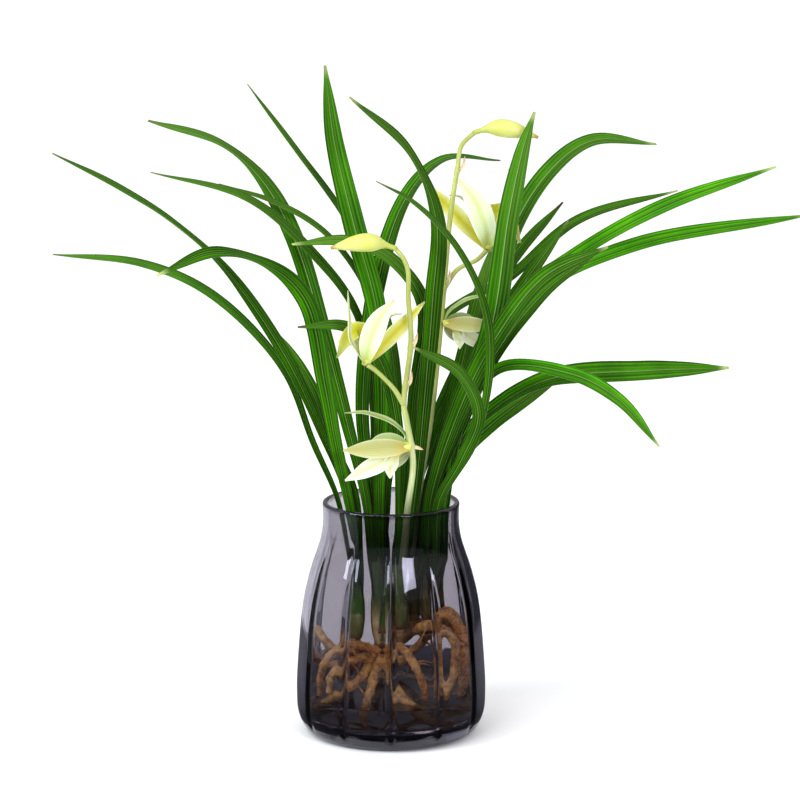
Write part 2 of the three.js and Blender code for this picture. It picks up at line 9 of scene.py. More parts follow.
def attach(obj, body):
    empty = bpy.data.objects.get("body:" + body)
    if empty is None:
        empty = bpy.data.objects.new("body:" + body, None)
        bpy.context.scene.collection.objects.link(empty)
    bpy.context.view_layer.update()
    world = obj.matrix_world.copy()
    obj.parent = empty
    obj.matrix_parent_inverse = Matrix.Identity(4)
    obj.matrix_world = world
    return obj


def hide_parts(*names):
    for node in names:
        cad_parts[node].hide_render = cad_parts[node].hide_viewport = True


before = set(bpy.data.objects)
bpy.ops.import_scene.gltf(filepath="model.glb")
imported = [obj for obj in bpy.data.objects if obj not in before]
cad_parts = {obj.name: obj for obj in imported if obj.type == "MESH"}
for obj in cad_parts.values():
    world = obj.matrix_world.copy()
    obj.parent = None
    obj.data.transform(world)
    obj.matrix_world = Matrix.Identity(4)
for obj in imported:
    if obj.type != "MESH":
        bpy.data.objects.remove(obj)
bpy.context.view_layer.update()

MM = 0.001

# The photograph's viewpoint: a long lens, a little above the flowers and looking down on the vase
EYE = Vector((5.7, -1850, 545)) * MM
AIM = Vector((5.7, 0, 214.5)) * MM
LENS = 134.3

# The vase
VASE_HEIGHT = 150
RIM_RADIUS = 43.5
WALL = 3.4
FLOOR_TOP = 10
FOOT_RADIUS = 49
FLUTES = 12
FLUTE_DEPTH = 0.9
FLUTE_FADE = 34
FLUTE_FOOT = 2
CREASE_WIDTH = 0.034
VASE_SIDES = 288
RIM_STEPS = 8
OUTSIDE_STEPS = 90
INSIDE_STEPS = 80
FOOT_ROUNDING = 1.5
CORNER_LEVEL = 28
CORNER_INSET = 1.5
CORNER_WIDTH = 5.5
CORNER_RISE = 3.5
VASE_SIDE = [(54.8, 3.6), (58.4, 12), (59.5, 28), (58.4, 52), (55.4, 84), (50.6, 106), (45.4, 123),
    (RIM_RADIUS, 134)]
WATER_LEVEL = 27
MENISCUS = 1.2
WATER_CLEARANCE = 0.1
WATER_STEPS = 24

# Colours of the smoked glass in linear light, the heights in metres over which its low part, its foot
# and its rim change colour, and the colours of the floor
GLASS_WALL = (0.5, 0.48, 0.52, 1)
GLASS_SHADE = (0.4, 0.38, 0.43, 1)
GLASS_LOW = (0.17, 0.16, 0.2, 1)
GLASS_FOOT = (0.015, 0.012, 0.025, 1)
# painted dark reflections laid along the rim and in the creases between the flutes
GLASS_PAINTED_DARK = (0.06, 0.055, 0.085, 1)
GLASS_SHINE = (0.5, 0.5, 0.56, 1)
GLASS_LOW_SPAN = (0.012, 0.045)
GLASS_FOOT_SPAN = (0.0, 0.014)
GLASS_RIM_SPAN = (0.1455, 0.1485)
FLOOR_PALE = (0.9, 0.9, 0.9, 1)
FLOOR_PALER = (0.92, 0.92, 0.92, 1)
ROOM_ABOVE = 1.1
ROOM_AROUND = 0.3
ROOM_SPAN = (0.05, 0.7)
KEY_STRENGTH = 1.15
KEY_SPREAD = 35
KEY_DIRECTION = (0.55, 0.75, -1.0)
FLOOR_REACH = 40

# A low screen and a mat round the vase that only glass sees. The screen is dark in front and to the
# right, grey to the left, and open towards the back of the picture. Metres, and degrees round the vase.
SCREEN_RADIUS = 0.36
SCREEN_HEIGHT = 0.17
SCREEN_GAP = 22
SCREEN_TURN = 215
MAT_INSIDE = 0.062
MAT_BEHIND = 0.21
SCREEN_DARK = (0.03, 0.03, 0.035, 1)
SCREEN_DARKER = (0.02, 0.02, 0.025, 1)
SCREEN_GREY = (0.8, 0.8, 0.84, 1)
SCREEN_GREYER = (0.5, 0.5, 0.54, 1)
MAT_DARK = (0.12, 0.115, 0.13, 1)
MAT_DARKER = (0.08, 0.078, 0.09, 1)
SCREEN_STEPS = 64
SCREEN_LIFT = 0.001

# Windows that the vase's shoulder mirrors: degrees to the right of the camera, height and size in
# metres, power, and colour
WINDOW_AWAY = 1.6
WINDOW_AIM = (0, 0, 0.1)
WINDOWS = {
    "window_left": (-62, 0.75, (0.6, 0.36), 16, (0.84, 0.91, 1)),
    "window_middle": (0, 0.75, (0.16, 0.4), 1, (0.8, 0.84, 1)),
    "window_right": (27, 0.75, (0.5, 0.36), 13, (0.88, 0.88, 1)),
}

# Blades: the part's outline and fold, drawn to a finer point, with many more points across and along
LEAF_SHAPE = [0.52, 0.57, 0.64, 0.74, 0.84, 0.92, 0.97, 1, 0.98, 0.88, 0.66, 0.05]
LEAF_FOLD = [42, 30, 20, 14, 12, 10]
TEPAL_SHAPE = [0.3, 0.72, 0.96, 1, 0.86, 0.5, 0.05]
TEPAL_FOLD = [30, 16, 14, 12]
BRACT_SHAPE = [0.5, 0.8, 1, 0.9, 0.75, 0.5, 0.1]
LEAF_STEPS = 84
TEPAL_STEPS = 26
LEAF_COLUMNS = [-1, -0.94, -0.8, -0.6, -0.4, -0.2, -0.07, 0, 0.07, 0.2, 0.4, 0.6, 0.8, 0.94, 1]
TEPAL_COLUMNS = [-1, -0.9, -0.7, -0.45, -0.2, 0, 0.2, 0.45, 0.7, 0.9, 1]
GROOVE = 0.14
LEAF_EDGE = 0.32
LEAF_RIB = 0.9
TIP_SHORT = 0.25
TEPAL_EDGE = 0.35
TEPAL_RIB = 0.75
TEPAL_CUP = 0.8
TEPAL_RUFFLE = 0.25
LIP_RUFFLE = 0.7
RUFFLE_PACE = 16

# How unevenly a leaf grows: the waver of its roll and fold in degrees, of its width as a share and of
# its route, and how much narrower and how many degrees more folded its foot is deep in the sheaths
ROLL_WAVER = 7
FOLD_WAVER = 6
WIDTH_WAVER = 0.07
ROUTE_WAVER = 0.5
FOOT_NARROWING = 0.45
FOOT_FOLDING = 14

# Bracts, buds and stems. The spans are the heights in metres over which a stem turns from its foot,
# darkened with painted shade inside the vase, to pale, and from pale to its greener upper part.
BRACT_WIDTH = 3
BRACT_STEPS = 14
BRACT_FOLD = 34
BRACT_CUP = 0.6
BRACT_EDGE = 0.3
BRACT_RIB = 0.6
BUD_OVERLAP = 1.6
BUD_SIDES = 42
BUD_STEPS = 64
SEAM_DEPTH = 0.07
STEM_SIDES = 20
STEM_SHADE_SPAN = (0.135, 0.165)
STEM_GREEN_SPAN = (0.15, 0.24)
STEM_STEPS = 150
STALK_SIDES = 16
STALK_STEPS = 40
STALK_TAPER = (1.5, 1.1, 1, 1.2)
JOINT_SWELL = 0.22
JOINT_LENGTH = 0.008
COLUMN_SIDES = 14
COLUMN_STEPS = 16

# Shoots: the bulb inside, and where along the shoot each of its four sheaths starts and ends
SHOOT_STEPS = 20
SHEATHED_FROM = 7
SHOOT_WAIST = [0.9, 0.78, 0.62, 0.5]
SHOOT_LENGTH = 52
BULB_SIDES = 36
BULB_STEPS = 44
SHEATH_SPANS = ((0.14, 0.6), (0.24, 0.78), (0.36, 0.94), (0.5, 1.08))
SHEATH_COLUMNS = 13
SHEATH_ROWS = 22
SHEATH_THICKNESS = 0.5
SHEATH_WRAP = 140
SHEATH_OPENING = 60

SHOOTS = [
    {"route": [(-23, -3, 55), (-22, -4, 67), (-21, -4, 84), (-22, -5, 106)], "radii": [3, 6.5, 5, 7],
        "aged": 0},
    {"route": [(-7, -5, 54), (-7, -8, 66), (-8, -8, 82), (-10, -8, 112)], "radii": [3, 7, 4.8, 6.5],
        "aged": 0},
    {"route": [(-8, 2, 54), (-7, 11, 69), (-8, 13, 87), (-9, 14, 106)], "radii": [3, 6.5, 4.8, 7.5],
        "aged": 0.3},
    {"route": [(6, -3, 62), (6, -5, 76), (5, -5, 92), (6, -7, 108)], "radii": [3, 7, 5.2, 8.5],
        "aged": 0.35},
    {"route": [(15, 6, 67), (15, 9, 82), (16, 10, 96), (17, 11, 110)], "radii": [3, 7, 5.6, 8],
        "aged": 0.9},
    {"route": [(23, -2, 69), (23, -6, 83), (23, -7, 97), (25, -7, 110)], "radii": [3, 6.5, 5.2, 7.5],
        "aged": 0.9},
    {"route": [(31, 3, 70), (29, 8, 84), (30, 8, 98), (32, 8, 110)], "radii": [3, 6.5, 5.2, 7],
        "aged": 1},
]

# Each leaf's shoot, greatest width, roll along it in degrees, and route from its sheaths to its tip.
# Its look gives a value for each of these marks: tone from dark to vivid green, tip from pale green to
# dark brown, how pale the midrib is, how much painted sheen pales the leaf near its tip, which half is
# turned from the light (the right one above 0, the left one below), and how dark the painted shade
# along its edges is.
LEAF_MARKS = ("tone", "tip", "rib", "sheen", "turned", "edge_shade")
LEAVES = {
    "leaf_01": {
        "shoot": 1, "width": 9.5, "roll": [50, 40, 20, 25, 86, 74, 64],
        "route": [(-22, -5, 108), (-28, -4, 152), (-45, -8, 198), (-66, -13, 245),
            (-102, -24, 300), (-131, -34, 329), (-164, -46, 353), (-203, -62, 376)],
        "look": (0.35, 0.7, 0.45, 0.2, 0.6, 0.5),
    },
    "leaf_02": {
        "shoot": 1, "width": 10, "roll": [50, 30, 30],
        "route": [(-20, 0, 108), (-24, 7, 152), (-37, 14, 180), (-49.5, 28, 213), (-59, 40, 228),
            (-74, 62, 248)],
        "look": (0.25, 0.7, 0.35, 0.2, -0.4, 0.5),
    },
    "leaf_03": {
        "shoot": 1, "width": 8.5, "roll": [60, 50, 52, 56, 58, 55, 60],
        "route": [(-26, -3, 108), (-35, -2, 152), (-51, 6, 188), (-67, 16, 228), (-90, 28, 256),
            (-122, 46, 279), (-162, 64, 292.5), (-222, 92, 295)],
        "look": (0.55, 0.8, 0.4, 0.2, 0.6, 0.6),
    },
    "leaf_04": {
        "shoot": 1, "width": 12, "roll": [30, 20, 15, 10, 10, 10, 15, 50, 84, 28, 10],
        "route": [(-20, -9, 108), (-27, -14, 152), (-35, -18, 192), (-41, -26, 229),
            (-52, -40, 283), (-73, -56, 306.5), (-105, -74, 317.5), (-139, -92, 306)],
        "look": (0.5, 0, 0.3, 0, 0.6, 0.7),
    },
    "leaf_05": {
        "shoot": 2, "width": 12.5, "roll": [20, 10, 5, 5, 5, 8, 15, 42, 80, 58, 38],
        "route": [(-13, -10, 114), (-16, -9, 152), (-28, -4, 202), (-42, 4, 255), (-62, 24, 316),
            (-84, 44, 351), (-110, 60, 370.5), (-158, 88, 383)],
        "look": (0.45, 0.8, 0.6, 0.4, 0.7, 0.5),
    },
    "leaf_06": {
        "shoot": 3, "width": 7.5, "roll": [30, 40, 45, 45, 45, 58, 60],
        "route": [(-13, 14, 108), (-14, 18, 152), (-12, 22, 198), (-21, 17, 264), (-49, 8, 306),
            (-89, 10, 340.5), (-151, 18, 356.5)],
        "look": (0.35, 0.7, 0.3, 0.3, 0.8, 0.5),
    },
    "leaf_07": {
        "shoot": 3, "width": 6.5, "roll": [30, 40, 55, 60, 58, 56],
        "route": [(-9, 17, 108), (-8, 22, 152), (-6, 26, 210), (-10, 25, 267), (-38, 22, 314),
            (-69, 24, 335), (-109, 30, 348)],
        "look": (0.3, 0.8, 0.3, 0.3, 0.8, 0.5),
    },
    "leaf_08": {
        "shoot": 3, "width": 7, "roll": [20, 30, 45, 58, 60, 55],
        "route": [(-5, 18, 108), (-2, 26, 152), (-5, 32, 209), (-11, 36, 273), (-26, 44, 318),
            (-60.5, 60, 366), (-93, 84, 407)],
        "look": (0.3, 0.6, 0.35, 0.2, 0.7, 0.6),
    },
    "leaf_09": {
        "shoot": 2, "width": 14, "roll": [20, 10, 5, 0, 5, 12, 20],
        "route": [(-8, -5, 114), (-8, -4, 152), (-6, -3, 215), (-9, 4, 271), (-24, 18, 326),
            (-36, 34, 375), (-42, 54, 421)],
        "look": (0.6, 0.5, 0.4, 0.1, 0.35, 0.7),
    },
    "leaf_10": {
        "shoot": 4, "width": 12.5, "roll": [-20, -5, 5, 10, 15, 18, 22, 42, 76, 58, 46],
        "route": [(9, -8, 110), (15, -7, 152), (21, -8, 216), (26, -12, 280), (28, -17, 330),
            (11, -26, 373.5), (-25, -40, 408)],
        "look": (0.3, 0.4, 0.4, 0.2, 0.8, 0.7),
    },
    "leaf_11": {
        "shoot": 6, "width": 6.5, "roll": [-30, -40, -50, 50, 55, 55],
        "route": [(29, -7, 112), (33, -9, 152), (55, -20, 196), (60, -30, 267), (41, -36, 315),
            (14, -42, 344), (-9, -50, 358)],
        "look": (0.25, 0.6, 0.45, 0.2, 0.5, 0.6),
    },
    "leaf_12": {
        "shoot": 4, "width": 10, "roll": [-10, 0, 0, 5, 10, 12, 20, 44, 44, 20, 15],
        "route": [(4, -2, 110), (9, 2, 152), (14, 2, 214), (20, -2, 275), (1, -9, 304),
            (-25, -16, 317), (-61, -26, 316.5)],
        "look": (0.35, 0.2, 0.4, 0.5, 0.5, 0.7),
    },
    "leaf_13": {
        "shoot": 4, "width": 9, "roll": [0, 10, 20, 20, 15],
        "route": [(3, -9, 110), (5, -12, 152), (4, -13, 198), (-7, -22, 244), (-27, -33, 266),
            (-57, -46, 268)],
        "look": (0.4, 0.9, 0.4, 0.2, 0.5, 0.6),
    },
    "leaf_14": {
        "shoot": 3, "width": 12, "roll": [10, 5, 0, -5, -10, -15, -20, -36, -57, -80, -66],
        "route": [(-9, 9, 108), (-12, 4, 152), (-18, 8, 207), (-9.5, 14, 282), (8.5, 30, 337),
            (32, 52, 360.5), (71, 84, 357.5)],
        "look": (0.5, 0.9, 0.45, 0.1, 0.9, 0.6),
    },
    "leaf_15": {
        "shoot": 6, "width": 14.5, "roll": [-20, -20, -10, 0, 0, -10],
        "route": [(21, -5, 112), (25, -6, 152), (43, -8, 203), (63, -12, 264), (73, -12, 333),
            (81.5, -4, 372), (89.5, 10, 395)],
        "look": (0.6, 0.3, 0.55, 0.3, 0.9, 0.5),
    },
    "leaf_16": {
        "shoot": 5, "width": 13, "roll": [-20, -20, -20, -20, -22, -24, -26, -30, -43, -52, -55],
        "route": [(20, 15, 112), (23, 18, 152), (45, 31, 209), (67, 38, 273), (79, 42, 320),
            (103, 56, 355), (129, 74, 371), (174, 106, 366)],
        "look": (0.6, 0.3, 0.5, 0.3, 0.9, 0.5),
    },
    "leaf_17": {
        "shoot": 7, "width": 10, "roll": [-20, -30, -35, -38, -30, -15],
        "route": [(28, 8, 112), (30, 11, 152), (50, 15, 215), (75, 22, 270), (118, 20, 304.8),
            (169, -4, 337.5), (235, -34, 365)],
        "look": (0.95, 0.2, 0.12, 0.1, 0.4, 0.3),
    },
    "leaf_18": {
        "shoot": 5, "width": 8.5, "roll": [-10, -20, -40, -50, -45, -40],
        "route": [(12, 11, 112), (12, 14, 152), (17, 18, 192), (30, 23, 259), (76, 26, 289),
            (118, 28, 325), (182, 36, 343)],
        "look": (0.3, 0.3, 0.3, 0.1, 0.6, 0.9),
    },
    "leaf_19": {
        "shoot": 5, "width": 9.5, "roll": [-20, -30, -35, -30],
        "route": [(16.5, 18, 112), (17, 22, 152), (31, 35, 189), (54, 47, 252), (78, 54, 296),
            (112, 88, 330)],
        "look": (0.2, 1, 0.25, 0.1, 0.5, 0.6),
    },
    "leaf_20": {
        "shoot": 7, "width": 10.5, "roll": [-30, -35, -40, -42, -42, -42, -40],
        "route": [(30, 5, 112), (32, 6, 152), (46, 8, 207), (64.5, 6, 252), (101, 8, 288.5),
            (157, 16, 311.5), (267, 34, 328)],
        "look": (0.95, 0.2, 0.12, 0.1, 0.25, 0.4),
    },
    "leaf_21": {
        "shoot": 6, "width": 12.5, "roll": [-30, -20, -20, -20],
        "route": [(23, -10, 112), (25, -11, 152), (44, -16, 214), (66, -22, 259), (94, -38, 298),
            (131, -66, 320)],
        "look": (0.3, 0.5, 0.4, 0.1, 0.6, 0.6),
    },
    "leaf_22": {
        "shoot": 6, "width": 9.5, "roll": [-20, -22, -28, -32],
        "route": [(25, -2, 112), (30, 2, 152), (49, 2, 208), (67.5, -2, 247), (96, -17, 286),
            (129, -42, 316)],
        "look": (0.3, 0.5, 0.35, 0.1, 0.6, 0.6),
    },
    "leaf_23": {
        "shoot": 5, "width": 9.5, "roll": [-20, -20, -25, -25],
        "route": [(19, 6, 112), (24, 1, 152), (38, -2, 205), (56, -2, 247), (81, -3, 286),
            (110, -14, 330)],
        "look": (0.3, 0.8, 0.35, 0.1, 0.6, 0.6),
    },
    "leaf_24": {
        "shoot": 7, "width": 14, "roll": [-25, -40, -60, -50, -24, -15, -15],
        "route": [(34, 11, 112), (34, 14, 152), (40, 18, 176), (64.5, 17, 205), (101, 22, 224),
            (159, 30, 228), (218, 48, 227)],
        "look": (0.6, 0.1, 0.35, 0.1, 0.4, 0.7),
    },
    "leaf_25": {
        "shoot": 7, "width": 9.5, "roll": [-20, -25, -45, -50, -18, -10],
        "route": [(35, 3, 112), (36, -1, 152), (48, -3, 209), (69, -8, 236), (113, -28, 235.5),
            (140, -50, 223.5), (162, -84, 201)],
        "look": (0.9, 0.3, 0.35, 0.1, 0.3, 0.4),
    },
    "leaf_26": {
        "shoot": 6, "width": 9, "roll": [-20, -25, -25, -20, -10, 0, 18, 45, 38, 15, 10],
        "route": [(28, -13, 112), (30, -18, 152), (44, -26, 181), (54, -38, 212), (42, -50, 240),
            (14, -74, 260)],
        "look": (0.3, 0.3, 0.45, 0.3, 0.4, 0.6),
    },
    "leaf_27": {
        "shoot": 7, "width": 11, "roll": [-20, -25, -30],
        "route": [(30, 14, 112), (29, 21, 152), (41, 28, 169), (64, 39, 191), (113, 76, 219.5)],
        "look": (0.5, 0.4, 0.3, 0.5, 0.4, 0.4),
    },
    "leaf_28": {
        "shoot": 5, "width": 8.5, "roll": [-10, -20, -30],
        "route": [(12.5, 14.5, 112), (10, 26, 152), (31, 43, 200), (56, 60, 250), (80, 92, 283)],
        "look": (0.35, 0.5, 0.35, 0.2, 0.5, 0.5),
    },
    "leaf_29": {
        "shoot": 5, "width": 10, "roll": [-10, -20, -20],
        "route": [(22, 10, 112), (23, 10, 152), (34, 13, 190), (50, 17, 256), (59, 22, 291),
            (65, 34, 310)],
        "look": (0.3, 0.5, 0.45, 0.5, 0.5, 0.4),
    },
    "leaf_30": {
        "shoot": 3, "width": 8.5, "roll": [0, 0, 10],
        "route": [(-4, 11, 108), (-3, 8, 152), (1, 12, 187), (3, 20, 217), (-1, 36, 250),
            (-9, 62, 276)],
        "look": (0.3, 0.6, 0.35, 0.4, 0.5, 0.4),
    },
}

SPIKES = {
    "spike_left": {
        "stem": [(7, -13, 108), (10.5, -18, 148), (13.8, -28, 180), (9.7, -34, 208), (8, -35, 218),
            (12.4, -39, 258), (10.8, -41, 286), (10.6, -42, 302), (8.3, -43, 309), (3, -43, 316)],
        "radii": [2.4, 2.3, 2, 1.9, 2, 1.7, 1.7, 1.5, 1.5, 1.4],
        "stalks": [{"route": [(8, -35, 218), (2, -37, 228), (-9, -41, 240), (-14, -43, 244)],
            "radius": 1.3}],
        "bracts": [[(9.6, -36, 229), (12, -37.5, 233), (13, -38, 239)],
            [(12.4, -39, 254), (15, -40, 258), (16.5, -41, 264)],
            [(13, -30.5, 191), (17, -31.5, 190), (20, -32.5, 189)]],
    },
    "spike_right": {
        "stem": [(13, 6, 112), (17, 7, 150), (25, 7, 200), (31, 4, 260), (37, 2, 330),
            (41.5, 5, 360), (44, 7.5, 374), (52, 9, 382)],
        "radii": [2.4, 2.3, 2, 1.9, 1.8, 1.7, 1.5, 1.4],
        "stalks": [{"route": [(33, 3, 285), (42, 4, 297), (54, 4, 303), (60, 4, 309)],
            "radius": 1.3}],
        "bracts": [[(42, 5, 358), (45, 3, 362), (46, 2, 368)],
            [(33, 3, 285), (36, 2, 290), (37, 1, 297)]],
    },
}

BUDS = {
    "bud_left": {
        "route": [(2, -43, 316.4), (-5, -43, 318.6), (-12, -44, 319.8), (-21, -44, 319.3),
            (-29, -44, 318), (-36.5, -44, 316.4)],
        "radii": [1.6, 5.4, 5.8, 4.7, 2.7, 0.6],
    },
    "bud_right": {
        "route": [(53, 9, 382.4), (60.5, 10, 384.4), (68, 11, 384.8), (76.5, 12, 383.4),
            (84.5, 12, 381.2), (92, 12, 378.8)],
        "radii": [1.6, 5.2, 6, 5, 2.7, 0.6],
    },
}

# Tepals and lips, as routes from the bloom's centre, each with its finish
NODDING_BLOOM = {
    "tepals": [
        {"width": 13, "roll": [10, 0, 0], "finish": "petal_golden",
            "route": [(0, 0, 0), (-13, -4, 0.6), (-27, -6, 0), (-41, -5, -1)]},
        {"width": 6, "roll": [76, 72, 66], "finish": "petal_green",
            "route": [(0, 1, 1), (-3, 2, 8), (-11, 3, 15), (-26, 3, 21), (-40, 2, 21.5)]},
        {"width": 11, "roll": [20, 30, 30], "finish": "petal_green",
            "route": [(0, 2, 0), (-8, 6, 2), (-17, 10, 2), (-27, 13, -2)]},
        {"width": 9, "roll": [10, 0, 0], "finish": "petal_pale",
            "route": [(0, 2, -1), (-3, 8, -5), (-8, 12, -11), (-15, 14, -18)]},
        {"width": 9, "roll": [10, 0, 0], "finish": "petal_pale",
            "route": [(0, 1, -1), (-5, 7, -4), (-13, 11, -8), (-23, 14, -14)]},
    ],
    "lip": [
        {"width": 12, "roll": [0, 0, 0], "finish": "lip_ivory",
            "route": [(-5, 2, -2), (-13, 3, -7), (-26, 2, -14), (-40, 0, -21)]},
        {"width": 10, "roll": [0, 0, 0], "finish": "lip_ivory",
            "route": [(-8, 2.5, -2), (-11, 3.5, -9), (-12, 3.5, -15), (-12, 2, -20)]},
        {"width": 10, "roll": [40, 50, 50], "finish": "lip_ivory",
            "route": [(-10, 2.2, -4), (-16, 7, -9), (-21, 9, -14), (-24, 8, -20)]},
    ],
    "column": {"route": [(1, 1, 0), (-3, 1, 1), (-8, 1.5, 0.5)], "radii": [2.8, 2.2, 1.5]},
}
RISING_BLOOM = {
    "tepals": [
        {"width": 14.5, "roll": [0, 0, 0], "finish": "petal_white",
            "route": [(0, 0, 0), (1, -3, 8), (4, -5, 19), (9, -4, 29), (17, -2, 39)]},
        {"width": 10, "roll": [0, 0, 0], "finish": "petal_olive",
            "route": [(1, 2, 0), (10, 5, 10), (20, 9, 20), (36, 13, 36)]},
        {"width": 11, "roll": [0, 0, 10], "finish": "petal_yellow",
            "route": [(0, 3, 1), (0, 6, 12), (-4, 5, 20), (-10, 3, 17), (-18, 0, 3)]},
        {"width": 6, "roll": [70, 74, 78], "finish": "petal_pale",
            "route": [(-1, -1, 0), (-6, -3, 8), (-10, -4, 16), (-10.5, -3, 31), (-11, -1, 45)]},
        {"width": 8, "roll": [70, 70, 72], "finish": "petal_pale",
            "route": [(1, 4, 1), (6, 10, 14), (11, 12, 24), (16, 12, 28), (22, 11, 28.5)]},
    ],
    "lip": [
        {"width": 8, "roll": [20, 30, 30], "finish": "lip_rose",
            "route": [(-3, 5, 8), (-6, 6, 11), (-11, 7, 14), (-17, 6, 12)]},
        {"width": 6, "roll": [60, 60, 60], "finish": "lip_ivory",
            "route": [(-4, 5, 7), (-5, 8, 11), (-7, 10, 13), (-10, 11, 12)]},
    ],
    "column": {"route": [(0, 0, -0.5), (0, 3, 3), (0, 6, 8)], "radii": [2.8, 2.2, 1.5]},
}
BLOOMS = {
    "left_low": {"kind": NODDING_BLOOM, "centre": (11.5, -33, 190.5), "mirror": 1, "scale": 1},
    "left_high": {"kind": RISING_BLOOM, "centre": (-15, -44, 245.5), "mirror": 1, "scale": 1},
    "right_low": {"kind": NODDING_BLOOM, "centre": (33.5, 0, 263), "mirror": -1, "scale": 0.81},
    "right_high": {"kind": RISING_BLOOM, "centre": (61, 4, 310), "mirror": -1, "scale": 1.12},
}

RHIZOME = [(-25, -3, 53), (-7, -3, 52), (6, -2, 61), (16, 5, 66), (25, 0, 68), (33, 3, 69)]
RHIZOME_RADIUS = 4.6
ROOT_TAPER = [0.9, 1, 1, 0.9, 0.55]
ROOT_SEED = 41
ROOT_SIDES = 20
ROOT_STEPS = 90
ROOT_RELIEF = 0.36
RHIZOME_SIDES = 28
RHIZOME_STEPS = 60
KNOBS = 16
KNOB_RADII = [3, 2.6, 1.2]
KNOB_RELIEF = 0.4
ROOTLETS = 5
ROOTLET_PLACES = 40
FIRST_ROOTLET = 8
LAST_ROOTLET = 37
ROOTLET_RADII = [0.75, 0.5, 0.25]
ROOTLET_RELIEF = 0.3
ROOTLET_REACH = 50
FINE_SIDES = 8
KNOB_SIDES = 12
FINE_STEPS = 14
ROOTS = [
    {"radius": 2.6, "route": [(-8, -8, 54), (-22, -24, 62), (-34, -32, 60),
        (-42, -30, 48), (-44, -26, 30)]},
    {"radius": 2.7, "route": [(-10, -6, 52), (-24, -26, 52), (-36, -34, 46), (-38, -36, 34)]},
    {"radius": 2.8, "route": [(-12, -6, 50), (-20, -28, 40), (-34, -34, 32),
        (-45, -22, 20), (-44, -6, 12)]},
    {"radius": 2.9, "route": [(-7, -8, 50), (-12, -28, 38), (-16, -36, 20), (-14, -38, 12)]},
    {"radius": 3.2, "route": [(-5, -8, 50), (2, -26, 36), (14, -36, 24),
        (26, -34, 14), (34, -26, 12.2)]},
    {"radius": 2.8, "route": [(-8, 0, 50), (-26, 10, 44), (-40, 14, 38), (-48, 4, 46), (-50, -8, 58)]},
    {"radius": 2.8, "route": [(-6, 4, 50), (-10, 26, 40), (-2, 42, 30), (14, 42, 16), (30, 34, 12)]},
    {"radius": 2.6, "route": [(4, -3, 58), (12, -18, 52), (20, -22, 36), (22, -20, 20)]},
    {"radius": 3.2, "route": [(14, 2, 64), (26, -14, 72), (38, -20, 66), (40, -22, 48),
        (34, -26, 30), (30, -30, 24)]},
    {"radius": 3.4, "route": [(20, 3, 66), (36, -6, 78), (44, -8, 66), (46, -14, 46), (44, -14, 24)]},
    {"radius": 2.8, "route": [(26, 2, 68), (40, 12, 66), (46, 14, 50), (46, 10, 28), (41, 2, 12)]},
    {"radius": 2.8, "route": [(18, 6, 64), (22, 24, 54), (16, 36, 44), (0, 34, 30), (-18, 30, 16)]},
    {"radius": 2.5, "route": [(-20, -3, 52), (-36, -10, 56), (-46, -10, 68),
        (-48, 4, 64), (-42, 20, 50)]},
    {"radius": 2.6, "route": [(-22, -2, 50), (-28, 18, 32), (-34, 28, 16), (-22, 38, 12)]},
]


def even_steps(steps):
    """Fractions from 0 to 1, one for each end of the steps."""
    return [step / steps for step in range(steps + 1)]


def sample(values, fraction):
    """Value at a fraction of a list whose entries stand evenly from 0 to 1."""
    place = min(max(fraction, 0), 1) * (len(values) - 1)
    index = min(int(place), len(values) - 2)
    share = place - index
    return values[index] * (1 - share) + values[index + 1] * share


def smooth_sample(values, fraction):
    """As sample, but rounded over at each entry."""
    near = 0.4 / (len(values) - 1)
    steps = [-1, -0.5, 0, 0.5, 1]
    return sum(sample(values, fraction + near * step) for step in steps) / len(steps)


def smoothstep(value, low, high):
    share = min(max((value - low) / (high - low), 0), 1)
    return share * share * (3 - 2 * share)


def curve_point(points, place):
    """Point on the centripetal spline through the points; place runs from 0 to their last index."""
    index = min(int(place), len(points) - 2)
    share = place - index
    start, end = points[index], points[index + 1]
    before = points[index - 1] if index > 0 else start * 2 - end
    after = points[index + 2] if index + 2 < len(points) else end * 2 - start
    spans = [max((b - a).length, 1e-6) ** 0.5 for a, b in ((before, start), (start, end), (end, after))]
    first, middle, last = spans
    leaving = (start - before) / first - (end - before) / (first + middle) + (end - start) / middle
    arriving = (end - start) / middle - (after - start) / (middle + last) + (after - end) / last
    leaving *= middle
    arriving *= middle
    squared = share * share
    cubed = squared * share
    return (
        start * (2 * cubed - 3 * squared + 1)
        + leaving * (cubed - 2 * squared + share)
        + end * (3 * squared - 2 * cubed)
        + arriving * (cubed - squared)
    )


def walk(route, steps):
    """Points and directions at even distances along a route."""
    points = [Vector(p) for p in route]
    count = 200
    places = [(len(points) - 1) * i / count for i in range(count + 1)]
    fine = [curve_point(points, place) for place in places]
    lengths = [0]
    for a, b in zip(fine, fine[1:]):
        lengths.append(lengths[-1] + (b - a).length)
    stops = []
    index = 0
    for step in range(steps + 1):
        wanted = lengths[-1] * step / steps
        while index < count - 1 and lengths[index + 1] < wanted:
            index += 1
        share = (wanted - lengths[index]) / (lengths[index + 1] - lengths[index])
        place = places[index] + (places[index + 1] - places[index]) * min(max(share, 0), 1)
        near = 0.002
        back = curve_point(points, max(place - near, 0))
        ahead = curve_point(points, min(place + near, len(points) - 1))
        stops.append((curve_point(points, place), (ahead - back).normalized()))
    return stops


def put_in_scene(name, content):
    """A new object of a mesh, lamp or camera."""
    made = bpy.data.objects.new(name, content)
    bpy.context.scene.collection.objects.link(made)
    return made


def smooth_outside(mesh, weld=0):
    """Smooth shading with every face turned outwards, and points nearer than weld joined."""
    mesh.polygons.foreach_set("use_smooth", [True] * len(mesh.polygons))
    mended = bmesh.new()
    mended.from_mesh(mesh)
    if weld:
        bmesh.ops.remove_doubles(mended, verts=mended.verts, dist=weld)
    bmesh.ops.recalc_face_normals(mended, faces=mended.faces)
    mended.to_mesh(mesh)
    mended.free()


